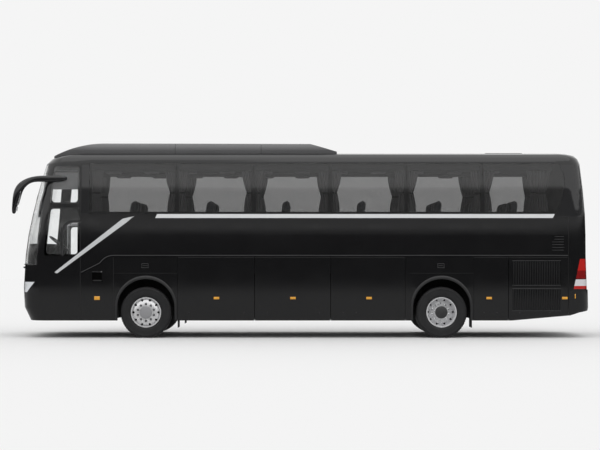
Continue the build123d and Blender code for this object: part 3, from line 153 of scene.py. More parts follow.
def weave_material(name, light, dark, scale):
    """Cloth: crossed threads in two shades, with the threads in relief."""
    material = finish_material(name, light, 0.85)
    tree = material.node_tree
    threads = []
    for direction in ("X", "Z"):
        wave = tree.nodes.new("ShaderNodeTexWave")
        wave.bands_direction = direction
        wire(tree, wave, {"Vector": own_place(tree), "Scale": scale, "Distortion": 0.6})
        threads.append(wave.outputs["Fac"])
    both = maths(tree, "MULTIPLY", *threads)
    wire(tree, tree.nodes["Principled BSDF"], {
        "Base Color": mix_colour(tree, both, dark, light), "Normal": relief(tree, both, 0.35, 0.001),
        "Sheen Weight": 0.4,
    })
    return material


def glass_material(name, tint, front_tint):
    """Flat glass, whose tint may differ beside the cab."""
    material = finish_material(
        name, tint, 0.004, mottle=0.03, rough_spread=0.003, Transmission_Weight=1.0, IOR=1.5
    )
    if front_tint != tint:
        tree = material.node_tree
        length = add_node(tree, "ShaderNodeSeparateXYZ", {0: own_place(tree)}, "X")
        along = spread(tree, length, 0, 1, CAB_GLASS_END - 0.01, CAB_GLASS_END + 0.01)
        wire(tree, tree.nodes["Principled BSDF"], {"Base Color": mix_colour(tree, along, front_tint, tint)})
    return material


CLEAR = (0.965, 0.975, 0.975)
looks = {
    "clear_glass": glass_material("clear_glass", CLEAR, CLEAR),
    "tinted_glass": glass_material("tinted_glass", (0.43, 0.43, 0.43), CLEAR),
    "seat_fabric": weave_material("seat_fabric", (0.050, 0.055, 0.075), (0.018, 0.020, 0.030), 160),
    "curtain_fabric": weave_material("curtain_fabric", (0.30, 0.29, 0.30), (0.16, 0.155, 0.16), 220),
}
LENS = {"mottle": 0.10, "mottle_scale": 30, "Coat_Weight": 0.8, "Coat_Roughness": 0.05}
SILVER = {"metal": 0.12, "mottle": 0.03, "grain": 0.03, "grain_scale": 260}
# colour, roughness and what differs from the defaults
for name, colour, rough, options in (
    ("body_paint", (0.0092, 0.0092, 0.0098), 0.11,
     dict(rough_spread=0.025, mottle_scale=0.9, grain=0.012, grain_scale=18)),
    ("lamp_lens", (0.80, 0.82, 0.85), 0.06,
     dict(mottle=0.04, rough_spread=0.03, Coat_Weight=0.6, Coat_Roughness=0.04)),
    ("signal_lens", (0.018, 0.017, 0.018), 0.08,
     dict(rough_spread=0.03, Coat_Weight=0.5, Coat_Roughness=0.04)),
    ("silver_trim", (0.80, 0.81, 0.82), 0.36, SILVER),
    ("black_plastic", (0.014, 0.014, 0.015), 0.34, dict(grain=0.12, grain_scale=420)),
    ("tyre", (0.015, 0.015, 0.016), 0.66,
     dict(mottle=0.25, mottle_scale=5, grain=0.25, grain_scale=160, Specular_IOR_Level=0.35)),
    ("wheel_alloy", (0.80, 0.80, 0.81), 0.24,
     dict(metal=0.45, mottle=0.05, rough_spread=0.06, grain=0.05, grain_scale=120)),
    ("chassis_metal", (0.020, 0.020, 0.021), 0.55,
     dict(mottle=0.4, mottle_scale=6, grain=0.3, grain_scale=60)),
    ("door_steel", (0.45, 0.45, 0.46), 0.28,
     dict(metal=1.0, grain=0.05, grain_scale=200, stretch=(1, 1, 0.05))),
    ("lining", (0.050, 0.050, 0.053), 0.75, dict(mottle=0.15, grain=0.25, grain_scale=240)),
    ("wheelhouse_plastic", (0.006, 0.006, 0.006), 0.8, dict(mottle=0.3, grain=0.3, grain_scale=90)),
    ("amber_lens", (0.86, 0.40, 0.030), 0.18, dict(mottle=0.06, Coat_Weight=0.7, Coat_Roughness=0.05)),
    ("red_lens", (0.52, 0.016, 0.012), 0.16, LENS),
    ("deep_red_lens", (0.24, 0.008, 0.008), 0.14, LENS),
    ("white_lens", (0.74, 0.72, 0.74), 0.16, dict(LENS, mottle=0.06, Coat_Weight=0.6)),
    ("stripe_grey", (0.66, 0.67, 0.68), 0.36, SILVER),
    ("bright_metal", (0.80, 0.81, 0.82), 0.10, dict(metal=1.0, mottle=0.03, rough_spread=0.04)),
    ("rubber_seal", (0.006, 0.006, 0.006), 0.5, dict(grain=0.1, grain_scale=200)),
    ("hub_casting", (0.13, 0.13, 0.135), 0.42,
     dict(metal=0.6, mottle=0.25, mottle_scale=14, grain=0.2, grain_scale=150)),
    # lighter grey for thin strips along the rub rail, the handle recesses, the grilles, the louvre and the
    # driver's window: a painted highlight on their edges
    ("satin_edge", (0.055, 0.055, 0.057), 0.32, dict(mottle=0.08, grain=0.05)),
    ("grille_face", (0.013, 0.013, 0.014), 0.65,
     dict(mottle=0.1, grain=0.1, grain_scale=200, Specular_IOR_Level=0.25)),
    # near-black without shine for the gaps between flaps, the hand holes, the foot recess, the windscreen's
    # foot and the dashboard: painted shade
    ("pit_black", (0.002, 0.002, 0.002), 0.9, dict(mottle=0.1, grain=0.1, Specular_IOR_Level=0.05)),
    ("lip_edge", (0.026, 0.026, 0.027), 0.42, dict(mottle=0.08, grain=0.08, Specular_IOR_Level=0.35)),
    ("hub_dark", (0.045, 0.045, 0.046), 0.45, dict(metal=0.4, mottle=0.25, mottle_scale=14, grain=0.2)),
    ("blind_grey", (0.20, 0.20, 0.205), 0.8, dict(mottle=0.1, grain=0.2, grain_scale=260)),
    # the roof pod's grey is lighter than the black body paint: painted light on its top and sides
    ("pod_shell", (0.095, 0.095, 0.098), 0.36,
     dict(mottle=0.06, mottle_scale=1.2, grain=0.04, grain_scale=120, Coat_Weight=0.25, Coat_Roughness=0.2)),
    ("gloss_black", (0.010, 0.010, 0.011), 0.035, dict(mottle=0.1, rough_spread=0.015)),
    ("backed_glass", (0.016, 0.016, 0.017), 0.012, dict(mottle=0.1, rough_spread=0.006)),
    ("mirror_glass", (0.86, 0.87, 0.88), 0.02, dict(metal=1.0, mottle=0.02, rough_spread=0.01)),
    ("seat_edge", (0.018, 0.018, 0.020), 0.45, dict(grain=0.3, grain_scale=180)),
    ("blank_plate", (0.56, 0.56, 0.55), 0.45, dict(mottle=0.05, grain=0.05)),
    ("service_unit", (0.30, 0.30, 0.31), 0.5, dict(mottle=0.08, grain=0.1)),
):
    looks[name] = finish_material(name, colour, rough, **options)

# ---------------------------------------------------------------- the frame's own pieces
SHARP = math.radians(33)


def shade_smooth(group, domain, inputs):
    node = group.nodes.new("GeometryNodeSetShadeSmooth")
    node.domain = domain
    wire(group, node, inputs)
    return node.outputs[0]


def soften_group():
    """Shades a piece smoothly, apart from the edges that turn by more than SHARP."""
    group = bpy.data.node_groups.new("soften", "GeometryNodeTree")
    for direction in ("INPUT", "OUTPUT"):
        group.interface.new_socket("Geometry", in_out=direction, socket_type="NodeSocketGeometry")
    start = group.nodes.new("NodeGroupInput").outputs[0]
    bare = add_node(group, "GeometryNodeRemoveAttribute", {0: start, "Name": "custom_normal"})
    merged = add_node(group, "GeometryNodeMergeByDistance", {"Geometry": bare, "Distance": 0.0001})
    gentle = group.nodes.new("FunctionNodeCompare")
    gentle.operation = "LESS_THAN"
    angle = add_node(group, "GeometryNodeInputMeshEdgeAngle", {}, "Unsigned Angle")
    wire(group, gentle, {0: angle, 1: SHARP})
    faces = shade_smooth(group, "FACE", {"Geometry": merged})
    edges = shade_smooth(group, "EDGE", {"Geometry": faces, "Shade Smooth": gentle.outputs[0]})
    wire(group, group.nodes.new("NodeGroupOutput"), {0: edges})
    return group


soften = soften_group()
slot_of = {entry["node"]: entry["material_slot"] for entry in record["subparts"]}
# nodes whose look differs from their slot's: the roof pod gets a lighter grey as painted light, and the
# dashboard near-black as painted shade
special = {
    "roof_pod": "pod_shell", "headlamps": "gloss_black", "signal_lamps": "gloss_black",
    "dashboard": "pit_black",
}
for name, obj in nodes.items():
    for holder in obj.material_slots:
        holder.material = looks[special.get(name, slot_of[name])]
    obj.modifiers.new("soften", "NODES").node_group = soften


# ---------------------------------------------------------------- making pieces
def new_piece(name, mesh, look, body="root", smooth=True):
    """A finished mesh as a piece that rides on a body."""
    mesh.materials.append(looks[look])
    mesh.polygons.foreach_set("use_smooth", [smooth] * len(mesh.polygons))
    obj = bpy.data.objects.new(name, mesh)
    scene.collection.objects.link(obj)
    if smooth:
        obj.modifiers.new("soften", "NODES").node_group = soften
    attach(obj, body)
    return obj


def mesh_from(name, work):
    mesh = bpy.data.meshes.new(name)
    work.to_mesh(mesh)
    work.free()
    return mesh


def from_bmesh(name, work, look, body="root", smooth=True):
    bmesh.ops.recalc_face_normals(work, faces=work.faces)
    return new_piece(name, mesh_from(name, work), look, body, smooth)


def around(middle, half):
    return middle - half, middle + half


def rectangle(x, z):
    """Outline of a rectangle from its spans along and up."""
    return (x[0], z[0]), (x[1], z[0]), (x[1], z[1]), (x[0], z[1])


def inside(first, last):
    """Distances from the coach's middle of two depths under its side."""
    return HALF_WIDTH - first, HALF_WIDTH - last


def side_box(side, x, out, z, round_by=0.0):
    """A box on one side of the coach from its spans along, out from the middle, and up."""
    low, high = sorted((side * out[0], side * out[1]))
    return (x[0], low, z[0]), (x[1], high, z[1]), round_by


def add_box(work, low, high, round_by=0.0):
    """A box with rounded edges between two corners."""
    centre = (Vector(low) + Vector(high)) / 2
    verts = bmesh.ops.create_cube(work, size=1.0)["verts"]
    bmesh.ops.scale(work, vec=Vector(high) - Vector(low), verts=verts)
    if round_by:
        edges = list({e for v in verts for e in v.link_edges})
        done = bmesh.ops.bevel(work, geom=edges, offset=round_by, segments=2, affect="EDGES", profile=0.5)
        verts = list({v for f in done["faces"] for v in f.verts} | {v for v in verts if v.is_valid})
    bmesh.ops.translate(work, vec=centre, verts=verts)


def box_piece(name, boxes, look, body="root"):
    """A piece of boxes, each with two corners and the rounding of its edges."""
    work = bmesh.new()
    for box in boxes:
        add_box(work, *box)
    return from_bmesh(name, work, look, body)


def add_loft(work, rings, closed=True, capped=True):
    """Faces from each ring of vertices to the next, and over the first and the last."""
    count = len(rings[0])
    for here, there in zip(rings, rings[1:]):
        for k in range(count if closed else count - 1):
            other = (k + 1) % count
            work.faces.new([here[k], here[other], there[other], there[k]])
    if capped:
        work.faces.new(rings[0][::-1])
        work.faces.new(rings[-1])


def circle(count, radius=1.0, offset=0.0):
    """Points evenly round a circle, started by a share of their spacing."""
    angles = [2 * math.pi * (k + offset) / count for k in range(count)]
    return [(radius * math.cos(angle), radius * math.sin(angle)) for angle in angles]


def loft_piece(name, rows, look):
    """A closed piece through rows of points."""
    work = bmesh.new()
    add_loft(work, [[work.verts.new(point) for point in row] for row in rows])
    return from_bmesh(name, work, look)


def disc_piece(name, profile, steps, places, look, body="root"):
    """A piece of copies of a profile of (radius, height), each turned about a placement's third axis."""
    work = bmesh.new()
    for place in places:
        rings = [
            [work.verts.new(place @ Vector((r * c, r * s, height))) for r, height in profile[1:-1]]
            for c, s in circle(steps)
        ]
        rings.append(rings[0])
        add_loft(work, rings, closed=False, capped=False)
        for end in (0, -1):
            tip = work.verts.new(place @ Vector((0, 0, profile[end][1])))
            for here, there in zip(rings, rings[1:]):
                work.faces.new([tip, here[end], there[end]])
    return from_bmesh(name, work, look, body)


def facing(x, out, z, side):
    """A placement on one side of the coach, with its third axis outwards."""
    return Matrix.Translation((x, side * out, z)) @ Matrix.Rotation(math.radians(-90 * side), 4, "X")


def surface_of(*names):
    """The faces of some nodes, for rays."""
    verts, faces = [], []
    for name in names:
        mesh = nodes[name].data
        start = len(verts)
        verts.extend(v.co.copy() for v in mesh.vertices)
        faces.extend([start + i for i in p.vertices] for p in mesh.polygons)
    return BVHTree.FromPolygons(verts, faces)


def side_reach(tree, x, z, side):
    """How far out the coach's side lies at a length and a height."""
    hit = tree.ray_cast(Vector((x, side * RAY_SIDE, z)), Vector((0, -side, 0)))[0]
    return side * hit.y if hit else HALF_WIDTH


def end_x(tree, end, y, z, missing):
    """Where an end of the coach (-1 front, 1 rear) lies at a width and a height."""
    hit = tree.ray_cast(Vector((end * RAY_END, y, z)), Vector((-end, 0, 0)))[0]
    return hit.x if hit else missing


def slice_all(work, point, normal):
    """Cuts every face along a plane."""
    geom = work.verts[:] + work.edges[:] + work.faces[:]
    bmesh.ops.bisect_plane(work, geom=geom, plane_co=point, plane_no=normal)


def extrude_all(work):
    """Extrudes every face and returns the new vertices, still in place."""
    grown = bmesh.ops.extrude_face_region(work, geom=work.faces[:])
    return [v for v in grown["geom"] if isinstance(v, bmesh.types.BMVert)]


DRAPE_DEPTH = 0.004


def drape_piece(name, outlines, tree, side, lift, look, body="root", cell=0.05):
    """Side-view outlines laid on the coach's side as thin sheets with their undersides in the body."""
    work = bmesh.new()
    for outline in outlines:
        sheet = bmesh.new()
        sheet.faces.new([sheet.verts.new((x, 0, z)) for x, z in outline])
        for axis, normal in enumerate((Vector((1, 0, 0)), Vector((0, 0, 1)))):
            low = min(point[axis] for point in outline)
            high = max(point[axis] for point in outline)
            for step in range(1, int((high - low) / cell) + 1):
                slice_all(sheet, normal * (low + step * cell), normal)
        for vert in sheet.verts:
            vert.co.y = side * (side_reach(tree, vert.co.x, vert.co.z, side) - DRAPE_DEPTH)
        moved = extrude_all(sheet)
        bmesh.ops.translate(sheet, vec=(0, side * (DRAPE_DEPTH + lift), 0), verts=moved)
        copies = {v: work.verts.new(v.co) for v in sheet.verts}
        for face in sheet.faces:
            work.faces.new([copies[v] for v in face.verts])
        sheet.free()
    return from_bmesh(name, work, look, body)


def strip(points, width):
    """Outline of a strip of even width along a line of (x, z) points."""
    left, right = [], []
    for k, point in enumerate(points):
        before = Vector(points[max(k - 1, 0)])
        after = Vector(points[min(k + 1, len(points) - 1)])
        along = (after - before).normalized()
        across = Vector((-along.y, along.x)) * width / 2
        left.append(tuple(Vector(point) + across))
        right.append(tuple(Vector(point) - across))
    return left + right[::-1]


def rounded(corners, radius, steps=5):
    """An outline with its corners rounded."""
    out = []
    for k, corner in enumerate(corners):
        here = Vector(corner)
        before = Vector(corners[k - 1]) - here
        after = Vector(corners[(k + 1) % len(corners)]) - here
        reach = min(radius, before.length * 0.49, after.length * 0.49)
        start = here + before.normalized() * reach
        end = here + after.normalized() * reach
        for step in range(steps + 1):
            t = step / steps
            out.append(tuple(start * (1 - t) ** 2 + here * 2 * t * (1 - t) + end * t ** 2))
    return out


def square_to(start, end):
    """The unit vector square to a line from one (x, z) to another, in the side view."""
    along = (Vector(end) - Vector(start)).normalized()
    return Vector((along.y, 0, -along.x))


# ---------------------------------------------------------------- stripe, seams and side lamps
sides = {
    side: surface_of(
        f"side_wall_{where}", "front_mask", "rear_shell", "arch_panels", "window_glass", "front_bumper",
        "rear_bumper", "roof_shell", "front_dome",
    ) for side, where in SIDES
}

# the kerb side has the entrance, so its stripe starts behind it
STRIPE_TOP = ((-3.563, 2.363), (-3.329, 2.414), (-3.376, 2.388), (-3.472, 2.300))
STRIPE = {
    -1: ((-4.913, 1.302), *STRIPE_TOP, (-4.862, 1.276)),
    1: ((-4.255, 1.819), *STRIPE_TOP, (-4.255, 1.723)),
}
# dark rubber in the seams of the fixed panels: two ends and the width
BOTH_SEAMS = (
    ((-3.743, 0.36), (-3.743, 1.60), 0.006),
    ((-3.743, ARCH_SEAM_Z), (-2.477, ARCH_SEAM_Z), 0.006),
    ((2.138, ARCH_SEAM_Z), (3.389, ARCH_SEAM_Z), 0.006),
    ((5.268, 0.46), (5.268, 2.40), 0.006),
    ((-4.214, 3.47), (5.007, 3.47), 0.005),
)
SEAMS = {
    -1: (((-4.400, 0.36), (-4.400, 1.60), 0.008), ((-4.400, 1.66), (-4.400, 3.42), 0.008), *BOTH_SEAMS),
    1: (*BOTH_SEAMS, ((-4.300, 0.36), (-4.300, 3.42), 0.008)),
}
MARKER_Z = 0.785
MARKER_HALF = 0.056
CAB_MARKER_EXTRA = 0.012      # the cab's own side lamp is taller, by this much above and below
for side, where in SIDES:
    drape_piece(
        f"stripe_{where}", [rounded(STRIPE[side], 0.02)], sides[side], side, 0.002, "stripe_grey",
    )
    drape_piece(
        f"seams_{where}", [strip((start, end), width) for start, end, width in SEAMS[side]],
        sides[side], side, 0.0012, "rubber_seal", cell=0.12,
    )
    # amber side lamps: body, and where along the coach
    for body, x in (
        (f"luggage_flap_{where}_front", -1.703), (f"luggage_flap_{where}_middle", -0.189),
        (f"luggage_flap_{where}_rear", 1.316 if side < 0 else 1.080),
        (f"service_flap_{where}", 3.692), (f"engine_flap_{where}", 5.190), ("root", -4.069),
    ):
        in_cab = body == "root"
        label = f"cab_{where}" if in_cab else body
        extra = CAB_MARKER_EXTRA if in_cab else 0
        out = side_reach(surface_of(f"side_wall_{where}" if in_cab else body), x, MARKER_Z, side)
        for tag, look, slot, half, proud, lift in (
            ("lens", "amber_lens", "signal_lens", 0.024, 0.007, 0.006),
            ("base", "black_plastic", "black_plastic", 0.031, 0.003, 0),
        ):
            height = around(MARKER_Z + lift, half + extra)
            box = side_box(side, around(x, MARKER_HALF), (out - 0.004, out + proud), height, 0.005)
            box_piece(f"side_lamp_{tag}_{label}", [box], look, body)

# ---------------------------------------------------------------- tyres and wheels
TYRE_STEPS = 240
TREAD_STEP = 4                # every fourth step round is a cut across the tread
# half section from the bead to the middle of the tread: distance from the middle, radius, depth of a cut
TYRE_HALF_SECTION = (
    (0.095, 0.2865, 0), (0.113, 0.306, 0), (0.1225, 0.322, 0), (0.129, 0.337, 0), (0.1325, 0.341, 0),
    (0.1325, 0.349, 0), (0.1350, 0.365, 0), (0.1378, 0.395, 0), (0.1378, 0.422, 0), (0.1362, 0.446, 0),
    (0.1380, 0.450, 0), (0.1375, 0.460, 0), (0.1345, 0.464, 0), (0.1300, 0.480, 1), (0.1220, 0.496, 2),
    (0.1120, 0.5035, 2), (0.0850, 0.5050, 2), (0.0800, 0.5045, 1), (0.0780, 0.4920, 0), (0.0700, 0.4920, 0),
    (0.0680, 0.5050, 1), (0.0330, 0.5058, 1), (0.0310, 0.4920, 0), (0.0230, 0.4920, 0), (0.0210, 0.5058, 1),
    (0.0000, 0.5060, 1),
)


def add_tyre(work, x, y, cut):
    """A tyre with ribs and grooves, whose tread is cut across into blocks."""
    mirrored = tuple((-across, radius, share) for across, radius, share in TYRE_HALF_SECTION[-2::-1])
    rings = []
    for step, (c, s) in enumerate(circle(TYRE_STEPS)):
        depth = cut if step % TREAD_STEP == 0 else 0
        ring = []
        for across, radius, share in TYRE_HALF_SECTION + mirrored:
            reach = radius - depth * share
            ring.append(work.verts.new((x + reach * c, y + across, TYRE_RADIUS + reach * s)))
        rings.append(ring)
    add_loft(work, rings + rings[:1], capped=False)


NUTS = 10
NUT_CIRCLE = 0.1675
NUT = (
    (0, -0.004), (0.024, -0.004), (0.024, 0.004), (0.0165, 0.006), (0.0165, 0.022), (0.012, 0.026),
    (0, 0.026),
)
CAP = (
    (0, -0.006), (0.121, -0.006), (0.123, 0.004), (0.116, 0.010), (0.105, 0.014), (0.060, 0.020), (0, 0.022),
)
HAND_HOLES = 10
HAND_HOLE_CIRCLE = 0.244
HOLE_SHADE = ((0, -0.002), (0.024, -0.002), (0.024, 0.002), (0, 0.002))
# end, plural, place along, tyres, depth of the cuts; distance of the nuts, the cap and the near-black discs of
# painted shade in the hand holes from the outer tyre's middle; looks of the nuts and the cap
AXLES = (
    ("front", "", FRONT_AXLE_X, (WHEEL_Y,), 0.0035, 0.132, 0.165, 0.108, "hub_casting", "service_unit"),
    ("rear", "s", REAR_AXLE_X, (WHEEL_Y, WHEEL_Y - TWIN_SPACING), 0.0045, -0.140, 0.073, -0.164,
     "bright_metal", "hub_dark"),
)
for side, where in SIDES:
    for end, plural, x, tyre_ys, cut, nut_out, cap_out, shade_out, nut_look, cap_look in AXLES:
        body = f"{end}_wheel{plural}_{where}"
        work = bmesh.new()
        for y in tyre_ys:
            add_tyre(work, x, side * y, cut)
        tyre = from_bmesh(f"tread_tyre{plural}_{end}_{where}", work, "tyre", body)
        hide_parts(f"{end}_tyre{plural}_{where}")
        for name, spots, profile, steps, out, look, slot in (
            (f"nuts_{end}_{where}", circle(NUTS, NUT_CIRCLE, 0.5), NUT, 12, nut_out, nut_look, "door_steel"),
            (f"hub_cap_{end}_{where}", [(0, 0)], CAP, 48, cap_out, cap_look, "chassis_metal"),
            (f"hole_shades_{body}", circle(HAND_HOLES, HAND_HOLE_CIRCLE), HOLE_SHADE, 20, shade_out,
             "pit_black", "black_plastic"),
        ):
            hub = facing(x, WHEEL_Y + out, TYRE_RADIUS, side)
            places = [hub @ Matrix.Translation((across, up, 0)) for across, up in spots]
            disc_piece(name, profile, steps, places, look, body)

# ---------------------------------------------------------------- rails, arches and recesses
RAIL_RADIUS = 0.3126
RAIL_BEND_X = -3.743
RAIL_CURVE = tuple(
    (RAIL_BEND_X - RAIL_RADIUS * math.sin(a), BELT_Z - RAIL_RADIUS * (1 - math.cos(a)))
    for a in map(math.radians, (0, 12, 24, 36, 47, 56))
)
RAIL_LINE = ((5.262, BELT_Z), *RAIL_CURVE, (-4.015, 1.4815), (-4.384, 1.298))
RAIL_HIGHLIGHT_RISE = 0.003
HANDLE_X = (-3.119, 2.740)
HANDLE_Z = 1.431
HANDLE_HALF = (0.059, 0.034)
# lips round the wheel openings: share of the lip's width, how far it stands proud
LIP = (
    (-0.04, -0.040), (0.0, 0.006), (0.14, 0.0135), (0.42, 0.0165), (0.72, 0.012), (0.92, 0.004),
    (1.0, -0.003),
)
LIP_WIDTH = 0.046             # at the foot, and LIP_SWELL wider at the top
LIP_SWELL = 0.022
LIP_PROBE = 0.12              # the body is felt for at least this share of the width outside the opening
LIP_BACK = (0.5, 0.030)       # hidden rear edge: share of the width, depth under the lip's crest
ARCH_RADIUS = 0.568
ARCH_Z = 0.600
ARCH_STEPS = 44
# where the lip runs straight up: height, share of LIP_SWELL
ARCH_LEG = ((0.36, 0.0), (0.46, 0.0), (0.54, 0.05))
# direction from the arch's centre, height where the lip runs straight up or else 0, share of LIP_SWELL
ARCH_PATH = [((-1, 0), z, swell) for z, swell in ARCH_LEG]
for k in range(ARCH_STEPS + 1):
    angle = math.pi * (1 - k / ARCH_STEPS)
    ARCH_PATH.append(((math.cos(angle), math.sin(angle)), 0, math.sin(angle)))
ARCH_PATH += [((1, 0), z, swell) for z, swell in ARCH_LEG[::-1]]
for side, where in SIDES:
    # a lighter strip laid along the rub rail: painted highlight on its edge
    bead = [(x, z + RAIL_HIGHLIGHT_RISE) for x, z in RAIL_LINE]
    drape_piece(
        f"rail_highlight_{where}", [strip(bead, 0.014)], sides[side], side, 0.0015, "satin_edge", cell=0.10
    )
    edge_highlights, bars = [], []
    # lighter strips round each handle recess: painted highlight on its edges
    for x in HANDLE_X:
        (x0, x1), (z0, z1) = around(x, HANDLE_HALF[0]), around(HANDLE_Z, HANDLE_HALF[1])
        edge_highlights += [
            rectangle((x0 - 0.010, x1 + 0.010), (z1, z1 + 0.010)),
            rectangle((x0 - 0.010, x1 + 0.010), (z0 - 0.010, z0)),
            rectangle((x0 - 0.008, x0), (z0, z1)),
            rectangle((x1, x1 + 0.008), (z0, z1)),
        ]
        bar_x = (x0 + 0.012, x1 - 0.012)
        bars.append(side_box(side, bar_x, inside(0.034, 0.014), around(HANDLE_Z, 0.012), 0.004))
    drape_piece(f"handle_edge_highlights_{where}", edge_highlights, sides[side], side, 0.003, "satin_edge", cell=0.2)
    box_piece(f"handle_bars_{where}", bars, "black_plastic")
    for axle_x, end in ((FRONT_AXLE_X, "front"), (REAR_AXLE_X, "rear")):
        rows = []
        for (dx, dz), straight, swell in ARCH_PATH:
            width = LIP_WIDTH + LIP_SWELL * swell
            row = []
            for share, proud in LIP:
                reach = ARCH_RADIUS + share * width
                probe = ARCH_RADIUS + max(share, LIP_PROBE) * width
                out = side_reach(sides[side], axle_x + dx * probe, straight or ARCH_Z + dz * probe, side)
                row.append((axle_x + dx * reach, side * (out + proud), straight or ARCH_Z + dz * reach))
            back = ARCH_RADIUS + LIP_BACK[0] * width
            under = row[3][1] - side * LIP_BACK[1]
            row.append((axle_x + dx * back, under, straight or ARCH_Z + dz * back))
            rows.append(row)
        loft_piece(f"arch_lip_{end}_{where}", rows, "lip_edge")

# the foot recess in the driver's side: a lighter strip on its upper edge as a painted highlight, its back in
# near-black as painted shade, and its ribbed tread
STEP_X = -4.069
STEP_Z = 1.208
STEP_HALF = 0.099
STEP_RIBS = 9
top = STEP_Z + STEP_HALF
drape_piece(
    "step_edge_highlight", [rectangle(around(STEP_X, STEP_HALF), (top - 0.002, top + 0.011))], sides[-1], -1, 0.003,
    "service_unit", cell=0.2,
)
out = side_reach(sides[-1], STEP_X, STEP_Z - 0.04, -1)
back = side_box(
    -1, around(STEP_X, STEP_HALF - 0.003), (out - 0.002, out + 0.006), around(STEP_Z, STEP_HALF - 0.003)
)
box_piece("step_back_shade", [back], "pit_black")
plate = side_box(-1, around(STEP_X, 0.088), inside(0.028, 0.012), (STEP_Z - 0.085, STEP_Z - 0.060), 0.004)
ribs = []
for k in range(STEP_RIBS):
    x = STEP_X - 0.080 + 0.020 * k
    ribs.append(side_box(-1, around(x, 0.003), inside(0.030, 0.008), (STEP_Z - 0.062, STEP_Z - 0.056)))
box_piece("step_tread", [plate, *ribs], "black_plastic")


# ---------------------------------------------------------------- lamps and the tail's corner glass
SKIN_LIFT = 0.0022


def skin_of(name, side, keep, cuts):
    """A copy of a node's faces on one side, cut by planes, kept by a test and lifted a little."""
    work = bmesh.new()
    work.from_mesh(nodes[name].data)
    bmesh.ops.remove_doubles(work, verts=work.verts, dist=0.0002)
    for point, normal in cuts:
        slice_all(work, point, normal)
    gone = []
    for face in work.faces:
        centre = face.calc_center_median()
        if centre.y * side < 0 or not keep(centre, face.normal):
            gone.append(face)
    bmesh.ops.delete(work, geom=gone, context="FACES")
    for vert in work.verts:
        vert.normal_update()
    for vert in work.verts:
        vert.co += vert.normal * SKIN_LIFT
    for vert in extrude_all(work):
        vert.co -= vert.normal * (SKIN_LIFT * 1.6)
    return work


def level_cut(z):
    return (0, 0, z), (0, 0, 1)


def side_cut(y):
    return (0, y, 0), (0, 1, 0)


def slant_cut(line):
    (x, z), foot = line
    return (x, 0, z), square_to((x, z), foot)


def slant_x(line, z):
    """Where a slanted cut is at a height."""
    (top_x, top_z), (foot_x, foot_z) = line
    return top_x + (top_z - z) / (top_z - foot_z) * (foot_x - top_x)


HEAD_LINE = ((-5.305, 1.112), (-5.500, 0.880))     # rear edge of the headlamps' lenses
HEAD_INNER = 0.78
HEAD_FOOT = 0.905
TAIL_LINE = ((5.500, 1.575), (5.395, 1.100))       # front edge of the tail lamps' lenses
TAIL_INNER = 1.055
TAIL_LENSES = (
    ("upper", 1.335, 1.565, "red_lens"), ("middle", 1.175, 1.335, "deep_red_lens"),
    ("white", 1.030, 1.160, "white_lens"), ("lower", 0.970, 1.030, "red_lens"),
)
CORNER_GLASS = (
    (5.036, 2.470), (5.110, 2.640), (5.172, 2.860), (5.205, 3.060), (5.202, 3.200), (5.170, 3.320),
    (5.100, 3.440), (5.400, 3.440), (5.445, 3.200), (5.485, 2.900), (5.520, 2.600), (5.530, 2.400),
    (5.030, 2.400),
)
for side, where in SIDES:
    work = skin_of(
        "headlamps", side,
        lambda c, n: n.x < -0.05 and abs(n.z) < 0.6 and c.x < slant_x(HEAD_LINE, c.z)
        and abs(c.y) > HEAD_INNER and c.z > HEAD_FOOT,
        (slant_cut(HEAD_LINE), side_cut(HEAD_INNER * side), level_cut(HEAD_FOOT)),
    )
    from_bmesh(f"head_lens_{where}", work, "lamp_lens")
    levels = (1.565, 1.335, 1.175, 1.160, 1.030, 0.970)
    cuts = (slant_cut(TAIL_LINE), *(level_cut(z) for z in levels), side_cut(TAIL_INNER * side))
    for tag, low, high, look in TAIL_LENSES:
        work = skin_of(
            "signal_lamps", side,
            lambda c, n: abs(n.z) < 0.6 and (n.x > 0.15 or n.y * side > 0.15) and low < c.z < high
            and c.x > slant_x(TAIL_LINE, c.z) and abs(c.y) > TAIL_INNER,
            cuts,
        )
        from_bmesh(f"tail_lens_{tag}_{where}", work, look)
    # and a strip of dark glass at the saloon's front, between the cab and the first pane
    front = rounded(rectangle((-4.385 if side < 0 else -4.285, -4.235), (2.480, 3.440)), 0.02)
    for name, outline, cell in (("corner", CORNER_GLASS, 0.05), ("front", front, 0.08)):
        drape_piece(
            f"{name}_glass_{where}", [outline], sides[side], side, 0.0015, "backed_glass",
            cell=cell,
        )

# ---------------------------------------------------------------- mirrors
# the arm and the head that hangs from it: x, z, half thickness seen from the side, half width, distance out
MIRROR_LINE = (
    (-4.668, 3.168, 0.018, 0.030, 1.250), (-4.690, 3.166, 0.036, 0.052, 1.250),
    (-4.762, 3.160, 0.052, 0.066, 1.250), (-4.901, 3.155, 0.063, 0.070, 1.250),
    (-5.040, 3.153, 0.066, 0.066, 1.250), (-5.198, 3.157, 0.062, 0.058, 1.252),
    (-5.320, 3.148, 0.056, 0.054, 1.262), (-5.420, 3.118, 0.058, 0.060, 1.285),
    (-5.500, 3.070, 0.066, 0.078, 1.308), (-5.566, 3.008, 0.076, 0.098, 1.325),
    (-5.612, 2.930, 0.080, 0.110, 1.330), (-5.642, 2.850, 0.074, 0.115, 1.330),
    (-5.662, 2.772, 0.064, 0.115, 1.330), (-5.678, 2.690, 0.054, 0.114, 1.330),
    (-5.690, 2.614, 0.046, 0.110, 1.330), (-5.700, 2.550, 0.040, 0.104, 1.330),
    (-5.706, 2.500, 0.034, 0.092, 1.330), (-5.708, 2.470, 0.024, 0.070, 1.330),
    (-5.708, 2.458, 0.008, 0.036, 1.330),
)
MIRROR_STEPS = 28
MIRROR_POWER = 0.72           # under 1, so that the section comes near a rounded rectangle
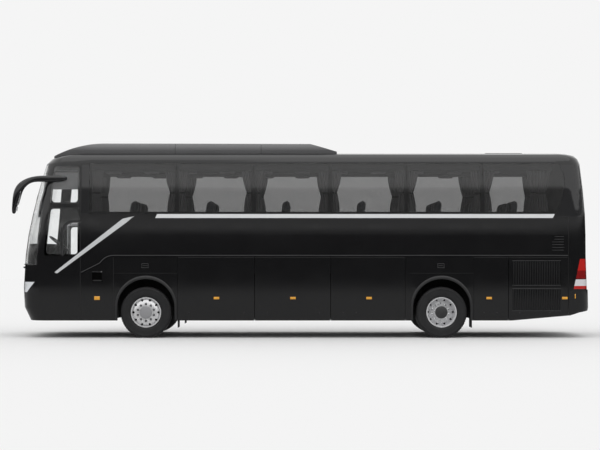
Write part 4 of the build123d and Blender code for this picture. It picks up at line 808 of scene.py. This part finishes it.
# the two glasses on the head's rear face: foot and top
MIRROR_GLASSES = (("small", (-5.664, 2.515), (-5.650, 2.596)), ("main", (-5.636, 2.640), (-5.566, 2.890)))
GLASS_OUT = 1.330
GLASS_HALF = 0.095
GLASS_PROUD = 0.010
GLASS_THICK = 0.022
for side, where in SIDES:
    rows = []
    for k, (x, z, thick, wide, out) in enumerate(MIRROR_LINE):
        before = MIRROR_LINE[max(k - 1, 0)]
        after = MIRROR_LINE[min(k + 1, len(MIRROR_LINE) - 1)]
        across = square_to(before[:2], after[:2])
        row = []
        for c, s in circle(MIRROR_STEPS):
            u = math.copysign(abs(c) ** MIRROR_POWER, c) * thick
            v = math.copysign(abs(s) ** MIRROR_POWER, s) * wide
            row.append(Vector((x, side * out + v, z)) + across * u)
        rows.append(row)
    shell = loft_piece(f"mirror_shell_{where}", rows, "gloss_black")
    more = shell.modifiers.new("round", "SUBSURF")
    more.levels = more.render_levels = 2
    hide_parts("mirrors")
    for tag, low, high in MIRROR_GLASSES:
        work = bmesh.new()
        out = square_to(low, high)
        corners = []
        for across, share in rounded(rectangle((-GLASS_HALF, GLASS_HALF), (0, 1)), 0.02):
            y = side * GLASS_OUT + across
            corners.append(Vector((low[0], y, low[1])).lerp(Vector((high[0], y, high[1])), share))
        work.faces.new([work.verts.new(at + out * GLASS_PROUD) for at in corners])
        bmesh.ops.translate(work, vec=-out * GLASS_THICK, verts=extrude_all(work))
        from_bmesh(f"mirror_glass_{tag}_{where}", work, "mirror_glass", smooth=False)

# ---------------------------------------------------------------- seats
SEAT_PITCH = 0.758
SEAT_FIRST_X = -3.700
SEAT_ROWS = 11
SEAT_PAIR = 0.900             # width of a bench for two
SEAT_Y = HALF_WIDTH - 0.145 - SEAT_PAIR / 2
DRIVER_SEAT = (-4.640, -0.640, DRIVER_FLOOR_Z)
PLACE = 0.432                 # width of one place's cushion
# outlines of the pads before they swell: length and height, with the seat facing -X
CUSHION = (
    (-0.232, 0.350), (-0.236, 0.415), (-0.205, 0.448), (-0.060, 0.440), (0.100, 0.430), (0.150, 0.440),
    (0.158, 0.330), (-0.170, 0.318),
)
BACK = (
    (0.152, 0.488), (0.168, 0.560), (0.206, 0.690), (0.248, 0.860), (0.268, 0.960), (0.280, 1.040),
    (0.292, 1.110), (0.314, 1.160), (0.352, 1.180), (0.392, 1.166), (0.406, 1.110), (0.396, 1.020),
    (0.350, 0.860), (0.232, 0.500), (0.190, 0.470),
)
HEAD = (
    (0.258, 1.010), (0.262, 1.070), (0.280, 1.130), (0.306, 1.146), (0.322, 1.120), (0.306, 1.060),
    (0.290, 1.005),
)
HEAD_WIDTH = 0.240
SHOULDER = (0.930, 1.190, 0.34)    # from this height to this one the back narrows by this share
# share of the pad's width, and size of the outline there
PAD_STATIONS = ((-0.5, 0.86), (-0.47, 0.95), (-0.40, 1.0), (0.0, 1.0), (0.40, 1.0), (0.47, 0.95), (0.5, 0.86))
PAD_SPARE = 0.024             # the outline is narrower than the swollen pad by this much
PAD_PRESSURE = 4
PAD_MOMENTS = 20              # frames of the cloth simulation


def evaluated(obj):
    """An object's mesh as its modifiers leave it, and the modifiers are gone."""
    graph = bpy.context.evaluated_depsgraph_get()
    mesh = bpy.data.meshes.new_from_object(obj.evaluated_get(graph))
    obj.modifiers.clear()
    return mesh


def pad_mesh(name, outline, width, voxel, cap):
    """A stuffed pad: an outline carried across, remeshed and swollen as cloth by no more than cap."""
    work = bmesh.new()
    middle = Vector((sum(p[0] for p in outline) / len(outline), sum(p[1] for p in outline) / len(outline)))
    rings = []
    for share, size in PAD_STATIONS:
        ring = []
        for point in outline:
            at = middle + (Vector(point) - middle) * size
            rise = min(1.0, max(0.0, (at.y - SHOULDER[0]) / (SHOULDER[1] - SHOULDER[0])))
            across = share * (width - PAD_SPARE) * (1 - SHOULDER[2] * rise ** 1.6)
            ring.append(work.verts.new((at.x, across, at.y)))
        rings.append(ring)
    add_loft(work, rings)
    bmesh.ops.recalc_face_normals(work, faces=work.faces)
    obj = bpy.data.objects.new(name, mesh_from(name, work))
    scene.collection.objects.link(obj)
    remesh = obj.modifiers.new("remesh", "REMESH")
    remesh.mode = "VOXEL"
    remesh.voxel_size = voxel
    even = obj.modifiers.new("even", "SMOOTH")
    even.factor = 0.5
    even.iterations = 2
    grown = evaluated(obj)
    obj.data = grown
    start = [v.co.copy() for v in grown.vertices]
    cloth = obj.modifiers.new("cloth", "CLOTH")
    cloth.settings.quality = 4
    cloth.settings.mass = 0.25
    cloth.settings.tension_stiffness = 12
    cloth.settings.compression_stiffness = 12
    cloth.settings.shear_stiffness = 4
    cloth.settings.bending_stiffness = 0.4
    cloth.settings.use_pressure = True
    cloth.settings.uniform_pressure_force = PAD_PRESSURE
    cloth.settings.effector_weights.gravity = 0
    cloth.point_cache.frame_start = 1
    cloth.point_cache.frame_end = PAD_MOMENTS
    scene.frame_start = 1
    scene.frame_end = PAD_MOMENTS
    for moment in range(1, PAD_MOMENTS + 1):
        scene.frame_set(moment)
    grown = evaluated(obj)
    for vert, before in zip(grown.vertices, start):
        shift = vert.co - before
        if shift.length > cap:
            vert.co = before + shift.normalized() * cap
    scene.frame_set(1)
    bpy.data.objects.remove(obj)
    return grown


cushion_mesh = pad_mesh("cushion_pad", CUSHION, PLACE, 0.024, 0.016)
back_mesh = pad_mesh("back_pad", BACK, PLACE, 0.024, 0.016)
head_mesh = pad_mesh("head_pad", HEAD, HEAD_WIDTH, 0.022, 0.012)


def gather(name, placed, look):
    """One piece from many placed copies of meshes."""
    work = bmesh.new()
    for mesh, matrix in placed:
        copy = mesh.copy()
        copy.transform(matrix)
        work.from_mesh(copy)
        bpy.data.meshes.remove(copy)
    mesh = mesh_from(name, work)
    mesh.materials.clear()
    return new_piece(name, mesh, look)


def add_prism(work, outline, widths):
    """A side-view outline of (x, z) carried from one width to another."""
    add_loft(work, [[work.verts.new((x, y, z)) for x, z in outline] for y in widths])


# hard parts of a bench: its back shell and side plates, then its base, legs, arm rest and bars
BACK_SHELL = (
    (0.240, 0.470), (0.262, 0.560), (0.330, 0.820), (0.366, 0.920), (0.372, 0.962), (0.392, 0.954),
    (0.388, 0.920), (0.354, 0.800), (0.282, 0.545), (0.262, 0.450), (0.200, 0.290), (0.180, 0.300),
)
SIDE_PLATE = (
    (-0.190, 0.290), (-0.215, 0.330), (-0.200, 0.372), (0.100, 0.380), (0.160, 0.450), (0.225, 0.560),
    (0.262, 0.560), (0.220, 0.400), (0.195, 0.285),
)
LEG_SHARE = 0.62              # the legs are this share of the bench's width apart


def bench_mesh(aisle):
    """The hard parts of a bench for two, with the aisle on side -1 or 1 of it."""
    work = bmesh.new()
    half = SEAT_PAIR / 2
    add_prism(work, BACK_SHELL, around(0, half - 0.012))
    add_box(work, (-0.190, -half + 0.03, 0.268), (0.170, half - 0.03, 0.308), 0.008)
    for side in (-1, 1):
        add_prism(work, SIDE_PLATE, sorted((side * (half - 0.010), side * half)))
    for side in (-1, 1):
        leg = side * half * LEG_SHARE
        add_box(work, (-0.055, leg - 0.020, 0.004), (0.055, leg + 0.020, 0.270), 0.006)
        add_box(work, (-0.100, leg - 0.030, 0.001), (0.100, leg + 0.030, 0.014), 0.004)
    for x, out, z, round_by in (
        ((-0.110, 0.215), (half - 0.044, half - 0.004), (0.618, 0.652), 0.010),
        ((0.185, 0.235), (half - 0.036, half - 0.012), (0.560, 0.640), 0.006),
        ((0.352, 0.416), (half - 0.070, half - 0.018), (0.960, 0.992), 0.010),
    ):
        add_box(work, *side_box(aisle, x, out, z, round_by))
    add_box(work, (0.300, -half + 0.060, 0.640), (0.345, half - 0.060, 0.655), 0.004)
    bmesh.ops.recalc_face_normals(work, faces=work.faces)
    return mesh_from("bench", work)


benches = {-1: [], 1: []}
for row in range(SEAT_ROWS):
    x = SEAT_FIRST_X + SEAT_PITCH * row
    benches[-1].append((x, -SEAT_Y, FLOOR_Z))
    # no bench beside the middle door
    if not MID_DOOR[0] - 0.5 < x < MID_DOOR[1] + 0.32:
        benches[1].append((x, SEAT_Y, FLOOR_Z))
for side, where in SIDES:
    pads, hard = [], []
    bench = bench_mesh(-side)
    for x, y, z in benches[side]:
        hard.append((bench, Matrix.Translation((x, y, z))))
        for share in (-0.25, 0.25):
            place = Matrix.Translation((x, y + share * SEAT_PAIR, z))
            pads += [(cushion_mesh, place), (back_mesh, place), (head_mesh, place)]
    cushions = gather(f"seat_pads_{where}", pads, "seat_fabric")
    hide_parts("passenger_seats")
    gather(f"seat_frames_{where}", hard, "seat_edge")

# the driver's pads are the same, a little wider, with a lower back
place = Matrix.Translation(DRIVER_SEAT)
foot = Matrix.Translation((0, 0, 0.46))
wider = Matrix.Diagonal((1, 1.06, 1, 1))
lower = foot @ Matrix.Diagonal((0.96, 1.08, 0.71, 1)) @ foot.inverted()
drop = Matrix.Translation((-0.012, 0, -0.162))
driver = gather(
    "driver_pads",
    [(cushion_mesh, place @ wider), (back_mesh, place @ lower), (head_mesh, place @ drop)],
    "seat_fabric",
)
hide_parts("driver_seat")
x, y, z = DRIVER_SEAT
# its base, from the pan over the folds of the bellows to the foot: half length, half width, low, high, rounding
BELLOWS = tuple((0.120, 0.130, 0.040 + 0.040 * k, 0.066 + 0.040 * k, 0.010) for k in range(5))
SEAT_BASE = ((0.170, 0.200, 0.240, 0.305, 0.010), *BELLOWS, (0.160, 0.160, 0.002, 0.038, 0.006))
boxes = [
    side_box(1, around(x, length), around(y, width), (z + low, z + high), round_by)
    for length, width, low, high, round_by in SEAT_BASE
]
box_piece("driver_seat_base", boxes, "seat_edge")

# ---------------------------------------------------------------- curtains
CURTAIN_Y = 1.122
CURTAIN_TOP = 3.318
CURTAIN_LOW = 2.506
CURTAIN_HALF = (0.235, 0.140, 0.195)    # half width at the rail, the tie and the foot
TIE_Z = 2.880
TIE_HALF = (0.146, 0.014)
PLEATS = 7
CUT_WIDTH = 0.800
CURTAIN_ROWS = 34
CURTAIN_COLUMNS = PLEATS * 12


def curtain_half(z):
    """Half width of a gathered curtain at a height."""
    rail, tied, foot = CURTAIN_HALF
    if z > TIE_Z:
        t = (z - TIE_Z) / (CURTAIN_TOP - TIE_Z)
        return tied + (rail - tied) * (1 - (1 - t) ** 1.7)
    t = (TIE_Z - z) / (TIE_Z - CURTAIN_LOW)
    return tied + (foot - tied) * math.sin(t * math.pi / 2) ** 0.8


def pleat_depth(width):
    """Depth of the pleats that takes up the whole cut width."""
    low, high = 0.0, 0.08
    steps = 60
    for _ in range(24):
        depth = (low + high) / 2
        length = 0.0
        before = (0.0, depth)
        for k in range(1, steps + 1):
            u = k / steps
            here = (u * width, depth * math.cos(2 * math.pi * u * PLEATS))
            length += math.hypot(here[0] - before[0], here[1] - before[1])
            before = here
        if length < CUT_WIDTH:
            low = depth
        else:
            high = depth
    return depth


levels = []
for row in range(CURTAIN_ROWS + 1):
    z = CURTAIN_TOP + (CURTAIN_LOW - CURTAIN_TOP) * row / CURTAIN_ROWS
    levels.append((z, 2 * curtain_half(z), pleat_depth(2 * curtain_half(z))))
# place along the coach and share of the full width of the curtains at the front and the rear of each side
END_CURTAINS = {-1: ((-4.105, 0.62), (4.690, 1.0)), 1: ((-4.235, 0.55), (4.850, 0.62))}
for side, where in SIDES:
    first, last = END_CURTAINS[side]
    for number, (pillar, share) in enumerate((first, *((x, 1.0) for x in PILLARS), last)):
        chance = random.Random(40 + number + 10 * (side > 0))
        sway = [chance.uniform(-0.05, 0.05) for _ in range(PLEATS + 1)]
        verts = []
        for z, width, depth in levels:
            for column in range(CURTAIN_COLUMNS + 1):
                u = column / CURTAIN_COLUMNS
                bend = sway[int(u * PLEATS)] * math.sin(math.pi * ((u * PLEATS) % 1.0)) ** 2
                phase = 2 * math.pi * u * PLEATS + bend * 6
                y = side * (CURTAIN_Y + depth * math.cos(phase) * 0.9 * share)
                verts.append((pillar + (u - 0.5) * width * share, y, z))
        faces = []
        for row in range(CURTAIN_ROWS):
            for column in range(CURTAIN_COLUMNS):
                a = row * (CURTAIN_COLUMNS + 1) + column
                faces.append((a, a + 1, a + CURTAIN_COLUMNS + 2, a + CURTAIN_COLUMNS + 1))
        name = f"curtain_{where}_{number + 1}"
        mesh = bpy.data.meshes.new(name)
        mesh.from_pydata(verts, [], faces)
        curtain = new_piece(name, mesh, "curtain_fabric")
        band = side_box(
            side, around(pillar, TIE_HALF[0] * share), (CURTAIN_Y - 0.052, CURTAIN_Y + 0.030),
            around(TIE_Z, TIE_HALF[1]), 0.006,
        )
        tie = box_piece(f"curtain_tie_{where}_{number + 1}", [band], "seat_edge")
        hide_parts("curtains")

# ---------------------------------------------------------------- racks
RACK_X = (-4.262, 4.980)
RACK = (
    (1.140, 3.440), (1.148, 3.338), (0.980, 3.318), (0.800, 3.296), (0.762, 3.294), (0.744, 3.306),
    (0.738, 3.330), (0.744, 3.356), (0.760, 3.362), (0.790, 3.346), (1.000, 3.366), (1.120, 3.380),
    (1.125, 3.440),
)
READING_LAMP = ((0, -0.004), (0.020, -0.004), (0.020, 0.004), (0, 0.006))
LAMP_Y = (0.848, 0.912)
downward = Matrix.Rotation(math.pi, 4, "X")
for side, where in SIDES:
    ends = [[(x, side * y, z) for y, z in RACK] for x in RACK_X]
    rack = loft_piece(f"rack_{where}", ends, "lining")
    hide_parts("luggage_racks")
    units, lamps = [], []
    for x, _, _ in benches[side]:
        units.append(side_box(side, (x - 0.230, x + 0.060), (0.800, 0.960), (3.272, 3.312), 0.008))
        lamps += [Matrix.Translation((x - 0.160, side * y, 3.270)) @ downward for y in LAMP_Y]
    box_piece(f"service_units_{where}", units, "service_unit")
    disc_piece(f"reading_lamps_{where}", READING_LAMP, 16, lamps, "white_lens")

# ---------------------------------------------------------------- small parts of the body
GRILLE_X = (4.157, 5.110)
GRILLE_BARS = 28
GRILLE_Z = (("lower", 0.548, 0.967), ("upper", 1.052, 1.522))
LOUVRE_BLADES = 6
GAP_X = (-2.477, -0.941, 0.564, 2.126, 3.390, 4.061)
LOCK_Z = 0.500
LOCK = ((0, -0.003), (0.014, -0.003), (0.014, 0.002), (0.011, 0.003), (0, 0.003))
CORNER_LAMP_X = 5.395
rear_tree = surface_of("rear_bumper")
for side, where in SIDES:
    # grille bars with a light face, on the engine flap
    flap = f"engine_flap_{where}"
    edges = []
    for tag, low, high in GRILLE_Z:
        pitch = (GRILLE_X[1] - GRILLE_X[0]) / GRILLE_BARS
        middles = [GRILLE_X[0] + pitch * (k + 0.5) for k in range(GRILLE_BARS)]
        bars = [side_box(side, around(x, 0.008), inside(0.014, 0.007), (low, high), 0.003) for x in middles]
        box_piece(f"grille_bars_{tag}_{where}", bars, "grille_face", flap)
        length = (GRILLE_X[0] - 0.005, GRILLE_X[1] + 0.005)
        edges += [rectangle(length, around(z, 0.005)) for z in (low - 0.008, high + 0.008)]
    # lighter strips along the top and the foot of each grille: painted highlight
    drape_piece(
        f"grille_edge_highlights_{where}", edges, surface_of(flap), side, 0.0015, "satin_edge", flap, cell=0.2
    )
    # blades of the louvre over the engine, the upper two shorter, in lighter grey as a painted highlight on
    # their lips
    blades = []
    for k in range(LOUVRE_BLADES):
        z = 1.745 + 0.054 * k
        start = 4.945 + (0.045 if k > 3 else 0)
        blades.append(side_box(side, (start, 5.177), inside(0.012, -0.0025), (z - 0.0085, z - 0.001), 0.002))
    box_piece(f"louvre_blades_{where}", blades, "satin_edge")
    # near-black strips behind the gaps between flaps: painted shade in the gaps
    gap_shades = [side_box(side, around(x, 0.030), inside(0.072, 0.062), (0.372, 1.270)) for x in GAP_X]
    box_piece(f"gap_shade_strips_{where}", gap_shades, "pit_black")
    # small upright lamps on the rear corners
    out = side_reach(rear_tree, CORNER_LAMP_X, 0.832, side)
    box = side_box(side, around(CORNER_LAMP_X, 0.008), (out - 0.004, out + 0.005), (0.782, 0.872), 0.003)
    box_piece(f"corner_lamp_{where}", [box], "amber_lens")
    # locks of the flaps, a pair at the foot of each
    for body, spots in (
        (f"luggage_flap_{where}_front", (-2.25, -1.15)), (f"luggage_flap_{where}_middle", (-0.70, 0.33)),
        (f"luggage_flap_{where}_rear", (0.80, 1.06)), (f"service_flap_{where}", (3.60, 3.85)),
        (f"engine_flap_{where}", (4.30, 4.90)),
    ):
        tree = surface_of(body)
        places = [facing(x, side_reach(tree, x, LOCK_Z, side), LOCK_Z, side) for x in spots]
        disc_piece(f"flap_locks_{body}", LOCK, 20, places, "black_plastic", body)

# frame of the driver's opening window, on the cab's side glass, with a lighter strip along it as a painted
# highlight
WINDOW_LINE = (
    (-4.772, 1.640), (-4.768, 2.050), (-4.750, 2.160), (-4.706, 2.240), (-4.640, 2.290), (-4.560, 2.310),
    (-4.400, 2.318),
)
for name, shift, width, lift, look in (
    ("frame", 0, 0.052, 0.003, "black_plastic"), ("bead", 0.022, 0.010, 0.005, "satin_edge"),
):
    line = [(x + shift, z - shift) for x, z in WINDOW_LINE]
    drape_piece(f"driver_window_{name}", [strip(line, width)], sides[-1], -1, lift, look, cell=0.06)

# wiper blades, lying along the foot of the windscreen
front_tree = surface_of("windscreen", "front_mask", "front_dome", "front_bumper")
WIPER_STEPS = 24
WIPER_Z = 1.452
WIPER_Y = (0.20, 0.86)        # inner end and length
WIPER_SECTION = ((-0.004, 1.440), (-0.018, 1.444), (-0.018, 1.462), (-0.004, 1.466))
for side, where in SIDES:
    rows = []
    for k in range(WIPER_STEPS + 1):
        y = side * (WIPER_Y[0] + WIPER_Y[1] * k / WIPER_STEPS)
        x = end_x(front_tree, -1, y, WIPER_Z, -5.5)
        rows.append([(x + ahead, y, z) for ahead, z in WIPER_SECTION])
    loft_piece(f"wiper_blade_{where}", rows, "rubber_seal")

# blank number plate at the rear, on its holder
PLATE_Z = 0.760
reach = max(end_x(rear_tree, 1, y, PLATE_Z, 0) for y in (-0.25, 0, 0.25))
for name, half, high, out, look, slot in (
    ("plate_holder", 0.272, 0.068, 0.0015, "black_plastic", "black_plastic"),
    ("plate", 0.260, 0.055, 0.0032, "blank_plate", "silver_trim"),
):
    box = ((reach - 0.03, -half, PLATE_Z - high), (reach + out, half, PLATE_Z + high), 0.003)
    box_piece(f"{name}_rear", [box], look)

# ---------------------------------------------------------------- cab and entrances
# roller blind inside the upper side glass of the cab, with the roll it comes from
BLIND = (
    ((-4.955, -1.130, 2.965), (-4.450, -1.126, 3.290)),
    ((-4.955, -1.138, 2.948), (-4.450, -1.118, 2.966), 0.004),
)
BLIND_ROLL = ((-4.965, -1.150, 3.286), (-4.440, -1.106, 3.330), 0.012)
box_piece("cab_blind", BLIND, "blind_grey")
box_piece("cab_blind_roll", [BLIND_ROLL], "black_plastic")

# near-black panel behind the foot of the windscreen: painted shade
FOOT_STEPS = 40
FOOT_LEVELS = (1.475, 1.58, 1.68, 1.78, 1.868)
FOOT_INSET = 0.034
work = bmesh.new()
rows = []
for k in range(FOOT_STEPS + 1):
    y = -1.06 + 2.12 * k / FOOT_STEPS
    rows.append([
        work.verts.new((end_x(front_tree, -1, y, z, -5.40) + FOOT_INSET, y, z)) for z in FOOT_LEVELS
    ])
add_loft(work, rows, closed=False, capped=False)
bmesh.ops.translate(work, vec=(0.006, 0, 0), verts=extrude_all(work))
from_bmesh("windscreen_foot", work, "pit_black")

# rubbers and handles of the front and the middle door: body, ends, top, middle of the handle
for body, (low, high), top, x in (
    ("front_door", (-5.060, -4.330), 2.330, -4.440), ("mid_door", MID_DOOR, 2.368, MID_DOOR[0] + 0.110),
):
    tree = surface_of(body)
    lines = [((edge, 0.44), (edge, top - 0.05)) for edge in (low + 0.030, high - 0.030)]
    rubbers = [strip(line, 0.012) for line in lines]
    drape_piece(f"{body}_rubbers", rubbers, tree, 1, 0.0015, "rubber_seal", body, cell=0.12)
    out = side_reach(tree, x, 0.590, 1)
    panel = side_box(1, around(x, 0.060), (out - 0.004, out + 0.0025), (0.560, 0.620), 0.002)
    box_piece(f"{body}_handle_plate", [panel], "black_plastic", body)
    lever = side_box(1, around(x, 0.048), (out - 0.004, out + 0.010), (0.582, 0.600), 0.004)
    box_piece(f"{body}_handle", [lever], "door_steel", body)

# treads of the entrances, ribbed mats with a bright nosing: ends and the outer edge of each step
MAT_RIBS = 11
floor_tree = surface_of("saloon_floor")
for name, (low, high), edges in (
    ("front", (-5.040, -4.340), (1.169, 0.820, 0.460)),
    ("mid", (1.260, 2.006), (1.169, 0.990, 0.825, 0.660, 0.495)),
):
    ribs, noses = [], []
    for edge in edges:
        hit = floor_tree.ray_cast(Vector(((low + high) / 2, edge - 0.060, 2.2)), Vector((0, 0, -1)))[0]
        if not hit:
            continue
        for k in range(MAT_RIBS):
            x = low + 0.06 + (high - low - 0.12) * k / (MAT_RIBS - 1)
            ribs.append(((x - 0.016, edge - 0.150, hit.z - 0.001), (x + 0.016, edge - 0.028, hit.z + 0.004)))
        noses.append(
            ((low + 0.02, edge - 0.024, hit.z - 0.002), (high - 0.02, edge - 0.002, hit.z + 0.005), 0.002)
        )
    box_piece(f"entrance_mats_{name}", ribs, "seat_edge")
    box_piece(f"entrance_nosings_{name}", noses, "door_steel")

# ---------------------------------------------------------------- floor, light and camera
FLOOR_REACH = 70.0
floor_mesh = bpy.data.meshes.new("ground")
corners = rectangle((-FLOOR_REACH, FLOOR_REACH), (-FLOOR_REACH, FLOOR_REACH))
floor_mesh.from_pydata([(x, y, 0) for x, y in corners], [], [(0, 1, 2, 3)])
ground = bpy.data.objects.new("ground", floor_mesh)
scene.collection.objects.link(ground)

BACKGROUND = 0.913            # what the camera sees behind the coach
AMBIENT = 0.84                # light from above, and the dimmer light from near the horizon
AMBIENT_LOW = 0.22
GLOSS_FLOOR = 0.42            # what a glossy surface sees of the floor near the coach, and far off
DARK_HORIZON = 0.012
FLOOR_FADE = (10.5, 22.0)
MIRROR_SKY = 1.25
# what a glossy surface sees over the horizon: elevation in degrees, share of MIRROR_SKY
MIRROR_BANDS = (
    (0.0, 0.010), (3.3, 0.010), (4.2, 0.10), (5.0, 0.42), (5.6, 0.72), (6.1, 0.72), (6.8, 0.17), (8.95, 0.17),
    (9.08, 1.0),
)


def ground_material():
    """Pale floor: shaded by the coach, and dimmer far away where a glossy surface mirrors it."""
    material = bpy.data.materials.new("pale_floor")
    material.use_nodes = True
    tree = material.node_tree
    tree.nodes.clear()
    output = tree.nodes.new("ShaderNodeOutputMaterial")
    diffuse = add_node(tree, "ShaderNodeBsdfDiffuse", {"Color": (0.90, 0.90, 0.90, 1)})
    squeezed = add_node(tree, "ShaderNodeMapping", {"Vector": own_place(tree), "Scale": (0.35, 1, 1)})
    length = tree.nodes.new("ShaderNodeVectorMath")
    length.operation = "LENGTH"
    wire(tree, length, {0: squeezed})
    fade = spread(tree, length.outputs["Value"], GLOSS_FLOOR, DARK_HORIZON, *FLOOR_FADE)
    mirrored = add_node(tree, "ShaderNodeEmission", {"Strength": fade})
    glossy = add_node(tree, "ShaderNodeLightPath", {}, "Is Glossy Ray")
    wire(tree, output, {"Surface": mix_shader(tree, glossy, diffuse, mirrored)})
    return material


floor_mesh.materials.append(ground_material())

world = bpy.data.worlds.new("studio")
scene.world = world
world.use_nodes = True
tree = world.node_tree
tree.nodes.clear()
output = tree.nodes.new("ShaderNodeOutputWorld")
path = tree.nodes.new("ShaderNodeLightPath").outputs
direction = add_node(tree, "ShaderNodeTexCoord", {}, "Generated")
up = add_node(tree, "ShaderNodeSeparateXYZ", {0: direction}, "Z")
bands = tree.nodes.new("ShaderNodeValToRGB")
for k, (elevation, share) in enumerate(MIRROR_BANDS):
    at = math.sin(math.radians(elevation))
    stop = bands.color_ramp.elements[0] if k == 0 else bands.color_ramp.elements.new(at)
    stop.position = at
    stop.color = (share, share, share, 1)
last = bands.color_ramp.elements[-1]
last.position = 1.0
last.color = (1, 1, 1, 1)
wire(tree, bands, {"Fac": up})
sky = maths(tree, "MULTIPLY", bands.outputs["Color"], MIRROR_SKY)
lighting = spread(tree, up, AMBIENT_LOW, AMBIENT, math.sin(math.radians(6)), math.sin(math.radians(20)))


def background(strength):
    return add_node(tree, "ShaderNodeBackground", {"Color": (1, 1, 1, 1), "Strength": strength})


lit = mix_shader(tree, path["Is Glossy Ray"], background(lighting), background(sky))
seen = maths(tree, "MAXIMUM", path["Is Camera Ray"], path["Is Transmission Ray"])
wire(tree, output, {"Surface": mix_shader(tree, seen, lit, background(BACKGROUND))})

sun_data = bpy.data.lights.new("overhead", "SUN")
sun_data.energy = 0.65
sun_data.angle = math.radians(60)
sun = bpy.data.objects.new("overhead", sun_data)
sun.rotation_euler = (math.radians(14), math.radians(4), 0)
scene.collection.objects.link(sun)

camera_data = bpy.data.cameras.new("camera")
camera_data.lens = 90.9
camera_data.sensor_width = 36
camera_data.clip_end = 400
camera = bpy.data.objects.new("camera", camera_data)
camera.location = (-0.05, -31.275, 1.64)
camera.rotation_euler = (math.radians(90 + 1.14), 0, 0)
scene.collection.objects.link(camera)
scene.camera = camera
scene.view_settings.view_transform = "Standard"
